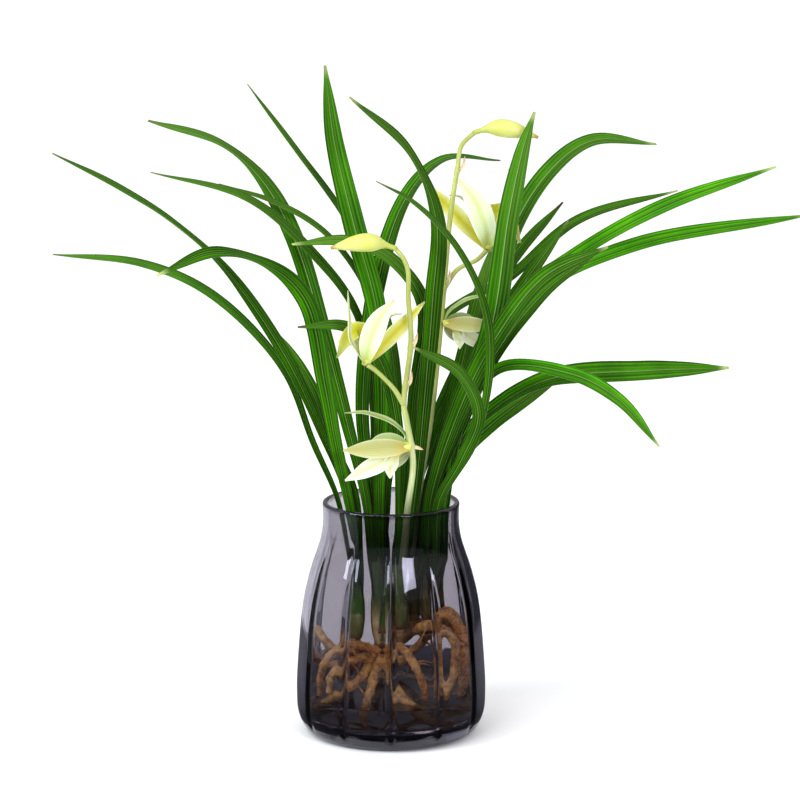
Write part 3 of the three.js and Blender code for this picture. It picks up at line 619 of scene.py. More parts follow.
def add_mark(mesh, name, values):
    """Keeps a value for each point of a mesh, for its materials to read."""
    mesh.attributes.new(name, "FLOAT", "POINT").data.foreach_set("value", values)


def wobble(seed, place, size):
    """Slow, smooth, seeded waver between minus size and size."""
    return noise.noise(Vector((seed * 7.31, place, seed * 1.7))) * size


class Skin:
    """Gathers closed tubes of rings into one mesh, with a surface map and per-point marks."""

    def __init__(self, *marks):
        self.points = []
        self.faces = []
        self.map = []
        self.slots = []
        self.marks = {mark_name: [] for mark_name in marks}

    def add(self, rings, across, along, slot=0, wrap=None, **marks):
        """across is the map's u at each point of a ring, along its v at each ring."""
        first = len(self.points)
        sides = len(rings[0])
        us = list(across) + [across[0] if wrap is None else wrap]
        for ring in rings:
            self.points.extend(ring)
        for row in range(len(rings) - 1):
            for side in range(sides):
                a = first + row * sides + side
                b = first + row * sides + (side + 1) % sides
                self.faces.append((a, b, b + sides, a + sides))
                low, high = along[row], along[row + 1]
                self.map += [(us[side], low), (us[side + 1], low), (us[side + 1], high), (us[side], high)]
        last = first + (len(rings) - 1) * sides
        self.faces.append(tuple(range(first + sides - 1, first - 1, -1)))
        self.map += [(u, along[0]) for u in reversed(us[:sides])]
        self.faces.append(tuple(range(last, last + sides)))
        self.map += [(u, along[-1]) for u in us[:sides]]
        self.slots += [slot] * ((len(rings) - 1) * sides + 2)
        for mark_name, values in self.marks.items():
            value = marks.get(mark_name, 0)
            per_ring = value if isinstance(value, list) else [value] * sides
            values += per_ring * len(rings)

    def build(self, name, materials):
        mesh = bpy.data.meshes.new(name)
        mesh.from_pydata([point * MM for point in self.points], [], self.faces)
        layer = mesh.uv_layers.new(name="surface")
        for corner, place in zip(layer.data, self.map):
            corner.uv = place
        for mark_name, values in self.marks.items():
            add_mark(mesh, mark_name, values)
        for material in materials:
            mesh.materials.append(material)
        mesh.polygons.foreach_set("material_index", self.slots)
        smooth_outside(mesh)
        return put_in_scene(name, mesh)


def stand_for(piece, slot, *nodes):
    """The piece rides with the part and is shown in place of these nodes."""
    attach(piece, "root")
    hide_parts(*nodes)


def rod_rings(route, radii, sides, steps, relief=None):
    """Rings of a round rod. relief(angle, fraction) gives a share of the radius to add."""
    stops = walk(route, steps)
    direction = stops[0][1]
    side = direction.orthogonal().normalized()
    rings = []
    for step, (centre, turned) in enumerate(stops):
        side = direction.rotation_difference(turned) @ side
        side = (side - turned * side.dot(turned)).normalized()
        direction = turned
        other = direction.cross(side)
        fraction = step / steps
        ring = []
        for index in range(sides):
            angle = 2 * math.pi * index / sides
            radius = smooth_sample(radii, fraction)
            if relief:
                radius *= 1 + relief(angle, fraction)
            ring.append(centre + side * (math.cos(angle) * radius) + other * (math.sin(angle) * radius))
        rings.append(ring)
    return rings


def add_rod(skin, route, radii, sides, steps, slot=0, relief=None, **marks):
    rings = rod_rings(route, radii, sides, steps, relief)
    skin.add(rings, even_steps(sides)[:-1], even_steps(steps), slot, wrap=1, **marks)


def blade_frame(stop, roll):
    """Centre, upper-face normal and left-to-right direction of a blade at one of its stops."""
    centre, direction = stop
    facing = (Vector((0, -1, 0)) + direction * direction.y).normalized()
    normal = Matrix.Rotation(math.radians(roll), 3, direction) @ facing
    return centre, normal, direction.cross(normal)


def trough(place, cup):
    """Height across a blade from 0 at the midrib to 1 at the edge: a rounded fold or, cupped, a bowl."""
    fold = (math.sqrt(place * place + GROOVE**2) - GROOVE) / (math.sqrt(1 + GROOVE**2) - GROOVE)
    return fold * (1 - cup) + place * place * cup


def blade_ring(frame_here, half, tilt, columns, edge, rib, cup=0.0, ruffle=0.0):
    """One ring of a blade: its upper face from left to right, then its lower face back."""
    centre, normal, across = frame_here
    reach = half * math.cos(tilt)
    lift = half * math.sin(tilt)
    upper = []
    lower = []
    for place in columns:
        height = lift * trough(place, cup) + ruffle * abs(place) ** 3
        thickness = edge + (rib - edge) * (1 - abs(place)) ** 1.6
        thickness *= min(1, 0.35 + half / 2)
        point = centre + across * (reach * place) + normal * height
        upper.append(point)
        lower.append(point - normal * thickness)
    return upper + lower[::-1]


def paint(red, green, blue):
    """A colour as a screen shows it, 0 to 255, turned into the scene's linear light."""

    def linear(value):
        share = value / 255
        return share / 12.92 if share <= 0.04045 else ((share + 0.055) / 1.055) ** 2.4

    return (linear(red), linear(green), linear(blue), 1)


def feed(tree, value, socket):
    """Joins an output to a socket, or sets a plain value on it."""
    if isinstance(value, bpy.types.NodeSocket):
        tree.links.new(value, socket)
    else:
        socket.default_value = value


def add_node(tree, kind, sockets, **settings):
    """A node with its settings, and its inputs fed by name or number."""
    made = tree.nodes.new(kind)
    for name, value in settings.items():
        setattr(made, name, value)
    for key, value in sockets.items():
        feed(tree, value, made.inputs[key])
    return made


def reckon(tree, operation, first, second=0.5, third=0.5):
    sockets = {0: first, 1: second, 2: third}
    return add_node(tree, "ShaderNodeMath", sockets, operation=operation).outputs[0]


def span(tree, value, low, high, from_share=0.0, to_share=1.0):
    """A value between low and high, turned smoothly into a share between two others."""
    sockets = {0: value, 1: low, 2: high, 3: from_share, 4: to_share}
    made = add_node(tree, "ShaderNodeMapRange", sockets, interpolation_type="SMOOTHSTEP")
    return made.outputs[0]


def blend(tree, share, first, second, way="MIX"):
    sockets = {0: share, 6: first, 7: second}
    made = add_node(tree, "ShaderNodeMix", sockets, data_type="RGBA", blend_type=way)
    return made.outputs[2]


def mark(tree, name):
    """A per-point mark that the piece's mesh carries."""
    made = add_node(tree, "ShaderNodeAttribute", {}, attribute_name=name, attribute_type="GEOMETRY")
    return made.outputs["Fac"]


def surface_place(tree):
    """How far across and along the piece a spot lies, from 0 to 1."""
    made = add_node(tree, "ShaderNodeUVMap", {}, uv_map="surface")
    apart = add_node(tree, "ShaderNodeSeparateXYZ", {0: made.outputs[0]})
    return apart.outputs[0], apart.outputs[1]


def object_place(tree):
    return add_node(tree, "ShaderNodeTexCoord", {}).outputs["Object"]


def object_height(tree):
    return add_node(tree, "ShaderNodeSeparateXYZ", {0: object_place(tree)}).outputs[2]


def new_group(name, inputs, outputs):
    """An empty node group. inputs holds (name, kind, value) rows, outputs (name, kind) rows."""
    group = bpy.data.node_groups.new(name, "ShaderNodeTree")
    for label, kind, value in inputs:
        socket = group.interface.new_socket(label, in_out="INPUT", socket_type=f"NodeSocket{kind}")
        socket.default_value = value
    for label, kind in outputs:
        group.interface.new_socket(label, in_out="OUTPUT", socket_type=f"NodeSocket{kind}")
    return group, group.nodes.new("NodeGroupInput").outputs, group.nodes.new("NodeGroupOutput").inputs


def place_group(tree, group, **sockets):
    """The group's outputs in a material. A socket's name has its spaces written as underscores."""
    made = tree.nodes.new("ShaderNodeGroup")
    made.node_tree = group
    for key, value in sockets.items():
        feed(tree, value, made.inputs[key.replace("_", " ")])
    return made.outputs


def mottle_group():
    """Cloudy variation through the solid: a mask from 0 to 1, even where it is cut by the surface."""
    group, given, result = new_group(
        "cloudy mottle",
        [("Scale", "Float", 60.0), ("Stretch", "Float", 1.0), ("Contrast", "Float", 0.2)],
        [("Mask", "Float")],
    )
    stretch = add_node(group, "ShaderNodeCombineXYZ", {0: 1.0, 1: 1.0, 2: given["Stretch"]})
    sockets = {0: object_place(group), 1: stretch.outputs[0]}
    placed = add_node(group, "ShaderNodeVectorMath", sockets, operation="MULTIPLY")
    sockets = {"Vector": placed.outputs[0], "Scale": given["Scale"], "Detail": 4.0}
    cloud = add_node(group, "ShaderNodeTexNoise", sockets)
    low = reckon(group, "SUBTRACT", 0.5, given["Contrast"])
    high = reckon(group, "ADD", 0.5, given["Contrast"])
    feed(group, span(group, cloud.outputs["Fac"], low, high), result["Mask"])
    return group


def veins_group():
    """Fine parallel lines that run along a blade, slightly uneven in strength."""
    group, given, result = new_group(
        "parallel veins",
        [("Across", "Float", 0.0), ("Along", "Float", 0.0), ("Count", "Float", 16.0),
            ("Unevenness", "Float", 0.5)],
        [("Lines", "Float"), ("Height", "Float")],
    )
    turns = reckon(group, "MULTIPLY", given["Across"], given["Count"])
    stretched = reckon(group, "MULTIPLY", given["Along"], 3.0)
    spot = add_node(group, "ShaderNodeCombineXYZ", {0: turns, 1: stretched})
    wander = add_node(group, "ShaderNodeTexNoise", {"Vector": spot.outputs[0], "Scale": 1.3, "Detail": 2.0})
    swayed = reckon(group, "MULTIPLY_ADD", wander.outputs["Fac"], 0.35, turns)
    wave = reckon(group, "COSINE", reckon(group, "MULTIPLY", swayed, 2 * math.pi))
    upright = reckon(group, "MULTIPLY_ADD", wave, 0.5, 0.5)
    thin = reckon(group, "POWER", upright, 3.0)
    fade = span(group, wander.outputs["Fac"], 0.3, 0.7)
    weak = reckon(group, "SUBTRACT", 1.0, reckon(group, "MULTIPLY", fade, given["Unevenness"]))
    feed(group, reckon(group, "MULTIPLY", thin, weak), result["Lines"])
    feed(group, upright, result["Height"])
    return group


def grain_group():
    """Fine cells and pits of a living surface, as a height."""
    group, given, result = new_group(
        "fine grain",
        [("Scale", "Float", 900.0), ("Roughness", "Float", 0.6)],
        [("Height", "Float")],
    )
    sockets = {"Vector": object_place(group), "Scale": given["Scale"], "Detail": 3.0,
        "Roughness": given["Roughness"]}
    feed(group, add_node(group, "ShaderNodeTexNoise", sockets).outputs["Fac"], result["Height"])
    return group


def zones_group():
    """Where a spot lies on a blade: near its midrib, near its edges, near its foot and near its point."""
    group, given, result = new_group(
        "blade zones",
        [("Across", "Float", 0.0), ("Along", "Float", 0.0), ("Rib Width", "Float", 0.08),
            ("Edge Width", "Float", 0.1), ("Foot Length", "Float", 0.1), ("Point Length", "Float", 0.06)],
        [("Midrib", "Float"), ("Edge", "Float"), ("Foot", "Float"), ("Point", "Float")],
    )
    doubled = reckon(group, "MULTIPLY_ADD", given["Across"], 2.0, -1.0)
    outward = reckon(group, "ABSOLUTE", doubled)
    feed(group, span(group, outward, 0.0, given["Rib Width"], 1.0, 0.0), result["Midrib"])
    inner = reckon(group, "SUBTRACT", 1.0, given["Edge Width"])
    feed(group, span(group, outward, inner, 1.0), result["Edge"])
    feed(group, span(group, given["Along"], 0.0, given["Foot Length"], 1.0, 0.0), result["Foot"])
    start = reckon(group, "SUBTRACT", 1.0, given["Point Length"])
    feed(group, span(group, given["Along"], start, 1.0), result["Point"])
    return group


def streaks_group():
    """Long soft streaks that run the length of a blade."""
    group, given, result = new_group(
        "long streaks",
        [("Across", "Float", 0.0), ("Along", "Float", 0.0), ("Count", "Float", 7.0),
            ("Variation", "Float", 0.0)],
        [("Mask", "Float")],
    )
    wide = reckon(group, "MULTIPLY", given["Across"], given["Count"])
    far = reckon(group, "MULTIPLY", given["Along"], 2.2)
    own = reckon(group, "MULTIPLY", given["Variation"], 37.0)
    spot = add_node(group, "ShaderNodeCombineXYZ", {0: wide, 1: far, 2: own})
    cloud = add_node(group, "ShaderNodeTexNoise", {"Vector": spot.outputs[0], "Scale": 1.0, "Detail": 3.0})
    feed(group, span(group, cloud.outputs["Fac"], 0.36, 0.64), result["Mask"])
    return group


def halves_group():
    """Which part of a leaf is turned from the light: the half to one side of the midrib."""
    group, given, result = new_group(
        "leaf halves",
        [("Across", "Float", 0.0), ("Turned", "Float", 0.0)],
        [("Shaded", "Float")],
    )
    right = span(group, given["Across"], 0.47, 0.53)
    left = reckon(group, "SUBTRACT", 1.0, right)
    to_right = reckon(group, "MULTIPLY", right, reckon(group, "MAXIMUM", given["Turned"], 0.0))
    to_left = reckon(group, "MULTIPLY", left, reckon(group, "MINIMUM", given["Turned"], 0.0))
    feed(group, reckon(group, "SUBTRACT", to_right, to_left), result["Shaded"])
    return group


MOTTLE = mottle_group()
VEINS = veins_group()
GRAIN = grain_group()
ZONES = zones_group()
STREAKS = streaks_group()
HALVES = halves_group()


def new_material(name, **plain):
    """A material with its shader, and the shader's plain values."""
    material = bpy.data.materials.new(name)
    material.use_nodes = True
    tree = material.node_tree
    shader = tree.nodes["Principled BSDF"]
    for label, value in plain.items():
        shader.inputs[label.replace("_", " ")].default_value = value
    return material, tree, shader


def tint(tree, base, colour, mask, amount):
    """A colour laid over another as far as a mask, times an amount, lets it show."""
    return blend(tree, reckon(tree, "MULTIPLY", mask, amount), base, colour)


def lay_finish(tree, shader, colour, mask, roughness, relief, strength, depth):
    """Colour, roughness that a mask varies between two values, and relief, on a surface."""
    feed(tree, colour, shader.inputs["Base Color"])
    feed(tree, span(tree, mask, 0.0, 1.0, *roughness), shader.inputs["Roughness"])
    sockets = {"Height": relief, "Strength": strength, "Distance": depth}
    bump = add_node(tree, "ShaderNodeBump", sockets)
    feed(tree, bump.outputs[0], shader.inputs["Normal"])


def pass_lamp_light(tree, shader, colour):
    """Lets the lamps' light through glass or water in a colour, where it would cast a hard shadow."""
    path = tree.nodes.new("ShaderNodeLightPath")
    clear = add_node(tree, "ShaderNodeBsdfTransparent", {"Color": colour})
    sockets = {0: path.outputs["Is Shadow Ray"], 1: shader.outputs[0], 2: clear.outputs[0]}
    mixed = add_node(tree, "ShaderNodeMixShader", sockets)
    feed(tree, mixed.outputs[0], tree.nodes["Material Output"].inputs["Surface"])


def leaf_material():
    """Strap leaf: vivid on one half and greyer, as painted shade, on the half turned from the light; a fine
    pale midrib between creases darkened as painted shade; edges darkened as painted shade, with a pale
    margin; streaks and veins, painted shade in the vein furrows and at the foot, a painted sheen towards
    the point, and a coloured point."""
    material, tree, shader = new_material("cymbidium leaf", Specular_IOR_Level=0.03)
    across, along = surface_place(tree)
    zones = place_group(tree, ZONES, Across=across, Along=along, Rib_Width=0.07, Edge_Width=0.2,
        Foot_Length=0.17, Point_Length=0.035)
    fine = place_group(tree, ZONES, Across=across, Along=along, Rib_Width=0.22, Edge_Width=0.06)
    cloud = place_group(tree, MOTTLE, Scale=38.0, Stretch=0.5, Contrast=0.22)["Mask"]
    veins = place_group(tree, VEINS, Across=across, Along=along, Count=6.0, Unevenness=0.6)
    tone = mark(tree, "tone")
    streaks = place_group(tree, STREAKS, Across=across, Along=along, Count=7.0, Variation=tone)["Mask"]
    shaded = place_group(tree, HALVES, Across=across, Turned=mark(tree, "turned"))["Shaded"]
    dark = blend(tree, cloud, paint(22, 54, 0), paint(34, 80, 0))
    bright = blend(tree, cloud, paint(50, 136, 0), paint(80, 172, 0))
    green = blend(tree, tone, dark, bright)
    # painted shade: the half of the leaf turned from the light is greyer
    grey = blend(tree, tone, paint(14, 34, 4), paint(46, 94, 20))
    green = tint(tree, green, grey, shaded, 0.85)
    green = blend(tree, reckon(tree, "MULTIPLY", streaks, 0.75), green, paint(96, 120, 60), "MULTIPLY")
    green = tint(tree, green, paint(118, 168, 44), veins["Lines"], 0.24)
    # painted shade: the furrows between the veins darken
    furrow_shade = reckon(tree, "POWER", reckon(tree, "SUBTRACT", 1.0, veins["Height"]), 4.0)
    green = tint(tree, green, paint(12, 34, 0), furrow_shade, 0.34)
    # painted sheen: the leaf pales towards its point
    painted_sheen = reckon(tree, "MULTIPLY", span(tree, along, 0.5, 0.98), mark(tree, "sheen"))
    green = tint(tree, green, paint(112, 162, 56), painted_sheen, 0.6)
    # painted shade: the creases on each side of the midrib darken
    green = tint(tree, green, paint(14, 36, 2), fine["Midrib"], 0.55)
    # painted shade: the leaf darkens along its edges
    edge_shade = reckon(tree, "MULTIPLY", mark(tree, "edge_shade"), 1.35)
    green = tint(tree, green, paint(8, 24, 2), zones["Edge"], edge_shade)
    green = tint(tree, green, paint(136, 170, 96), fine["Edge"], 0.4)
    green = tint(tree, green, paint(164, 200, 118), zones["Midrib"], mark(tree, "rib"))
    green = tint(tree, green, paint(120, 152, 84), mark(tree, "underside"), 0.35)
    # painted shade: the leaf darkens towards its foot, deep in the sheaths and the vase
    green = tint(tree, green, paint(12, 26, 4), zones["Foot"], 0.75)
    point = blend(tree, mark(tree, "tip"), paint(186, 206, 126), paint(60, 42, 34))
    coloured = blend(tree, zones["Point"], green, point)
    grain = place_group(tree, GRAIN, Scale=1400.0, Roughness=0.5)["Height"]
    height = reckon(tree, "MULTIPLY_ADD", grain, 0.25, veins["Height"])
    lay_finish(tree, shader, coloured, cloud, roughness=(0.4, 0.52), relief=height,
        strength=0.5, depth=0.0004)
    return material


def sheath_material():
    """Papery leaf sheaths: green above, straw and torn brown at the foot."""
    material, tree, shader = new_material("papery sheath", Specular_IOR_Level=0.35)
    across, along = surface_place(tree)
    cloud = place_group(tree, MOTTLE, Scale=150.0, Stretch=0.35, Contrast=0.15)["Mask"]
    veins = place_group(tree, VEINS, Across=across, Along=along, Count=11.0, Unevenness=0.7)
    green = blend(tree, cloud, paint(30, 62, 12), paint(66, 108, 30))
    pale = blend(tree, cloud, paint(150, 140, 80), paint(200, 190, 136))
    low = span(tree, reckon(tree, "MULTIPLY_ADD", cloud, 0.15, along), 0.02, 0.3)
    layer = mark(tree, "layer")
    body = tint(tree, pale, green, low, span(tree, layer, 0.0, 0.4, 0.55, 1.0))
    body = tint(tree, body, paint(120, 150, 66), veins["Lines"], 0.4)
    old = blend(tree, cloud, paint(46, 34, 14), paint(98, 72, 36))
    body = tint(tree, body, old, mark(tree, "aged"), 0.85)
    brown = blend(tree, cloud, paint(70, 42, 22), paint(140, 96, 52))
    torn = span(tree, reckon(tree, "MULTIPLY_ADD", cloud, -0.14, along), -0.12, 0.1, 1.0, 0.0)
    body = blend(tree, torn, body, brown)
    lay_finish(tree, shader, body, cloud, roughness=(0.45, 0.68), relief=veins["Height"],
        strength=0.5, depth=0.0003)
    return material


def bulb_material():
    """Ribbed bulb: cream, with brown scars towards its foot and green above."""
    material, tree, shader = new_material("cream bulb", Specular_IOR_Level=0.35)
    across, along = surface_place(tree)
    cloud = place_group(tree, MOTTLE, Scale=190.0, Stretch=0.6, Contrast=0.13)["Mask"]
    veins = place_group(tree, VEINS, Across=across, Along=along, Count=22.0, Unevenness=0.8)
    cream = blend(tree, cloud, paint(190, 158, 100), paint(226, 204, 150))
    cream = tint(tree, cream, paint(92, 60, 32), mark(tree, "aged"), 0.8)
    body = blend(tree, span(tree, along, 0.3, 0.6), cream, paint(60, 92, 28))
    foot = span(tree, reckon(tree, "MULTIPLY_ADD", cloud, 0.2, along), 0.05, 0.3, 1.0, 0.0)
    body = blend(tree, foot, body, paint(104, 70, 44))
    body = tint(tree, body, paint(120, 90, 58), veins["Lines"], 0.35)
    lay_finish(tree, shader, body, cloud, roughness=(0.5, 0.7), relief=veins["Height"],
        strength=0.5, depth=0.0004)
    return material


def root_material():
    """Thick roots: orange-brown skin with dark patches, small pale flecks and wrinkles."""
    material, tree, shader = new_material("wet root skin", Specular_IOR_Level=0.5, Coat_Weight=0.15,
        Coat_Roughness=0.3)
    broad = place_group(tree, MOTTLE, Scale=45.0, Stretch=1.0, Contrast=0.16)["Mask"]
    patches = place_group(tree, MOTTLE, Scale=210.0, Stretch=1.0, Contrast=0.14)["Mask"]
    flecks = place_group(tree, MOTTLE, Scale=700.0, Stretch=1.0, Contrast=0.12)["Mask"]
    warm = blend(tree, broad, paint(236, 144, 46), paint(255, 196, 96))
    body = tint(tree, warm, paint(88, 40, 12), patches, 0.7)
    body = tint(tree, body, paint(252, 222, 170), flecks, 0.4)
    body = tint(tree, body, paint(110, 62, 34), mark(tree, "thin"), 0.5)
    body = blend(tree, mark(tree, "crown"), body, paint(52, 28, 14))
    grain = place_group(tree, GRAIN, Scale=600.0, Roughness=0.65)["Height"]
    lay_finish(tree, shader, body, patches, roughness=(0.4, 0.65), relief=grain,
        strength=0.6, depth=0.0008)
    return material


def stem_material():
    """Flower stem: pale yellow-green, paler below, fine lengthwise lines, and painted shade at its foot."""
    material, tree, shader = new_material("flower stem", Specular_IOR_Level=0.4, Coat_Weight=0.1,
        Subsurface_Weight=0.12, Subsurface_Scale=0.002)
    across, along = surface_place(tree)
    cloud = place_group(tree, MOTTLE, Scale=110.0, Stretch=0.4, Contrast=0.18)["Mask"]
    veins = place_group(tree, VEINS, Across=across, Along=along, Count=9.0, Unevenness=0.6)
    height = object_height(tree)
    low = blend(tree, cloud, paint(206, 216, 164), paint(184, 200, 138))
    high = blend(tree, cloud, paint(166, 174, 92), paint(146, 156, 72))
    body = blend(tree, span(tree, height, *STEM_GREEN_SPAN), low, high)
    body = tint(tree, body, paint(156, 166, 76), veins["Lines"], 0.25)
    # painted shade: the stem darkens low down, inside the vase
    body = blend(tree, span(tree, height, *STEM_SHADE_SPAN, 0.85, 0.0), body, paint(34, 44, 16))
    lay_finish(tree, shader, body, cloud, roughness=(0.4, 0.52), relief=veins["Height"],
        strength=0.25, depth=0.0002)
    return material


def bract_material():
    """Small bracts: straw, browned at the point."""
    material, tree, shader = new_material("dry bract", Specular_IOR_Level=0.35)
    across, along = surface_place(tree)
    veins = place_group(tree, VEINS, Across=across, Along=along, Count=7.0, Unevenness=0.5)
    cloud = place_group(tree, MOTTLE, Scale=300.0, Stretch=0.6, Contrast=0.15)["Mask"]
    body = blend(tree, cloud, paint(222, 212, 170), paint(208, 188, 150))
    body = blend(tree, span(tree, along, 0.4, 1.0, 0.0, 0.7), body, paint(196, 150, 128))
    body = tint(tree, body, paint(168, 132, 104), veins["Lines"], 0.4)
    lay_finish(tree, shader, body, cloud, roughness=(0.45, 0.6), relief=veins["Height"],
        strength=0.4, depth=0.0002)
    return material


def bud_material():
    """Closed bud: pale yellow, greener at its foot and in fine lengthwise lines, with a brown hooked point.
    """
    material, tree, shader = new_material("flower bud", Specular_IOR_Level=0.4, Coat_Weight=0.12,
        Subsurface_Weight=0.15, Subsurface_Scale=0.002)
    across, along = surface_place(tree)
    cloud = place_group(tree, MOTTLE, Scale=90.0, Stretch=1.0, Contrast=0.18)["Mask"]
    veins = place_group(tree, VEINS, Across=across, Along=along, Count=30.0, Unevenness=0.6)
    body = blend(tree, cloud, paint(206, 209, 122), paint(190, 196, 88))
    body = blend(tree, span(tree, along, 0.0, 0.4, 0.8, 0.0), body, paint(150, 166, 54))
    body = tint(tree, body, paint(158, 170, 66), veins["Lines"], 0.35)
    body = blend(tree, span(tree, along, 0.86, 1.0), body, paint(160, 124, 70))
    lay_finish(tree, shader, body, cloud, roughness=(0.38, 0.48), relief=veins["Height"],
        strength=0.3, depth=0.0002)
    return material


def petal_material(name, *colours, stripe_width=0.9, point_length=0.1):
    """A tepal, from the colours of its body, of the broad stripe along its middle and the finer lines,
    of its edges, its foot and its point."""
    body, stripe, edge, foot, point = [paint(*colour) for colour in colours]
    material, tree, shader = new_material(name, Specular_IOR_Level=0.35, Sheen_Weight=0.15,
        Sheen_Roughness=0.4, Subsurface_Weight=0.18, Subsurface_Scale=0.0015)
    across, along = surface_place(tree)
    zones = place_group(tree, ZONES, Across=across, Along=along, Rib_Width=stripe_width, Edge_Width=0.3,
        Foot_Length=0.35, Point_Length=point_length)
    cloud = place_group(tree, MOTTLE, Scale=120.0, Stretch=1.0, Contrast=0.2)["Mask"]
    veins = place_group(tree, VEINS, Across=across, Along=along, Count=11.0, Unevenness=0.6)
    shade = tint(tree, body, stripe, cloud, 0.25)
    shade = blend(tree, zones["Midrib"], shade, stripe)
    shade = tint(tree, shade, edge, zones["Edge"], 0.8)
    shade = tint(tree, shade, foot, zones["Foot"], 0.85)
    shade = tint(tree, shade, point, zones["Point"], 0.85)
    lines = reckon(tree, "MULTIPLY", veins["Lines"], 0.28)
    shade = blend(tree, lines, shade, stripe, "MULTIPLY")
    grain = place_group(tree, GRAIN, Scale=1800.0, Roughness=0.6)["Height"]
    height = reckon(tree, "MULTIPLY_ADD", grain, 0.3, veins["Height"])
    lay_finish(tree, shader, shade, cloud, roughness=(0.45, 0.58), relief=height,
        strength=0.3, depth=0.0002)
    return material


def petal_materials():
    """The finishes that the tables name."""
    ivory, cream = (228, 232, 200), (214, 220, 156)
    return {
        "petal_golden": petal_material("golden beige petal", (178, 180, 118), (168, 168, 98),
            (196, 200, 156), (178, 160, 58), (180, 184, 124)),
        "petal_green": petal_material("pale green petal", (166, 182, 118), (134, 156, 72),
            (192, 204, 156), (138, 160, 62), (154, 158, 100)),
        "petal_pale": petal_material("pale petal", (200, 208, 162), (176, 190, 112),
            (216, 222, 188), (166, 180, 82), (184, 186, 132)),
        "petal_white": petal_material("white petal", (212, 222, 184), (192, 206, 140),
            (228, 234, 212), (170, 186, 70), (190, 202, 136), stripe_width=0.5),
        "petal_olive": petal_material("olive striped petal", (204, 206, 120), (182, 176, 0),
            (222, 226, 190), (178, 176, 10), (140, 152, 90), stripe_width=0.7),
        "petal_yellow": petal_material("yellow petal", (206, 208, 74), (190, 188, 6),
            (210, 212, 140), (196, 196, 60), (120, 132, 70), point_length=0.45),
        "lip_ivory": petal_material("ivory lip", ivory, cream, (234, 238, 220),
            (214, 206, 60), ivory, stripe_width=0.35),
        "lip_rose": petal_material("rose tipped lip", ivory, cream, (230, 226, 204),
            (214, 208, 90), (172, 118, 100), stripe_width=0.35, point_length=0.4),
        "column": petal_material("column", (208, 214, 130), (196, 204, 92), cream,
            (190, 194, 80), ivory, point_length=0.3),
    }


def glass_material():
    """Smoked glass: grey-violet, darker in the thick foot, with painted dark reflections at the rim and in
    the flute creases, letting lamp light through.
    """
    material, tree, shader = new_material("smoked glass", IOR=1.46, Transmission_Weight=1.0,
        Specular_IOR_Level=0.5, Specular_Tint=GLASS_SHINE, Metallic=0.0)
    height = object_height(tree)
    cloud = place_group(tree, MOTTLE, Scale=18.0, Stretch=0.4, Contrast=0.3)["Mask"]
    wall = tint(tree, GLASS_WALL, GLASS_SHADE, cloud, 0.25)
    lower = blend(tree, span(tree, height, *GLASS_LOW_SPAN), GLASS_LOW, wall)
    solid_foot = blend(tree, span(tree, height, *GLASS_FOOT_SPAN), GLASS_FOOT, lower)
    # painted dark reflections: the rim and the creases between flutes darken
    painted_rim = blend(tree, span(tree, height, *GLASS_RIM_SPAN, 0.0, 0.75), solid_foot, GLASS_PAINTED_DARK)
    painted_creases = tint(tree, painted_rim, GLASS_PAINTED_DARK, mark(tree, "crease"), 0.8)
    feed(tree, painted_creases, shader.inputs["Base Color"])
    feed(tree, span(tree, cloud, 0.0, 1.0, 0.0, 0.006), shader.inputs["Roughness"])
    pass_lamp_light(tree, shader, blend(tree, 0.45, painted_creases, GLASS_LOW))
    return material


def water_material():
    """Still water, faintly brown from the roots."""
    material, tree, shader = new_material("still water", IOR=1.333, Transmission_Weight=1.0,
        Roughness=0.0, Metallic=0.0)
    cloud = place_group(tree, MOTTLE, Scale=30.0, Stretch=1.0, Contrast=0.3)["Mask"]
    brown = blend(tree, cloud, paint(226, 226, 222), paint(212, 208, 198))
    feed(tree, brown, shader.inputs["Base Color"])
    pass_lamp_light(tree, shader, brown)
    return material


def screen_material(name, colour, darker):
    material, tree, shader = new_material(name, Specular_IOR_Level=0.0, Roughness=1.0)
    cloud = place_group(tree, MOTTLE, Scale=2.0, Stretch=1.0, Contrast=0.4)["Mask"]
    feed(tree, blend(tree, cloud, colour, darker), shader.inputs["Base Color"])
    return material


def floor_material():
    material, tree, shader = new_material("pale floor", Specular_IOR_Level=0.1)
    grain = place_group(tree, MOTTLE, Scale=3.0, Stretch=1.0, Contrast=0.4)["Mask"]
    feed(tree, blend(tree, grain, FLOOR_PALE, FLOOR_PALER), shader.inputs["Base Color"])
    feed(tree, span(tree, grain, 0.0, 1.0, 0.7, 0.8), shader.inputs["Roughness"])
    return material


def blade_map(columns):
    """The surface map's u round a blade's ring, over its upper face and back under it."""
    us = [(column + 1) / 2 for column in columns]
    return us + us[::-1]


def sheathed_stops(shoot, foot):
    """The hidden foot of a leaf: stops that run up the shoot from its bulb to where the leaf leaves it."""
    axis = walk(shoot["route"], SHOOT_STEPS)
    offset = foot - axis[-1][0]
    stops = []
    for step in range(SHEATHED_FROM, SHOOT_STEPS):
        centre, direction = axis[step]
        spread = 0.25 + 0.75 * smoothstep(step, SHEATHED_FROM, SHOOT_STEPS)
        stops.append((centre + offset * spread, direction))
    return stops


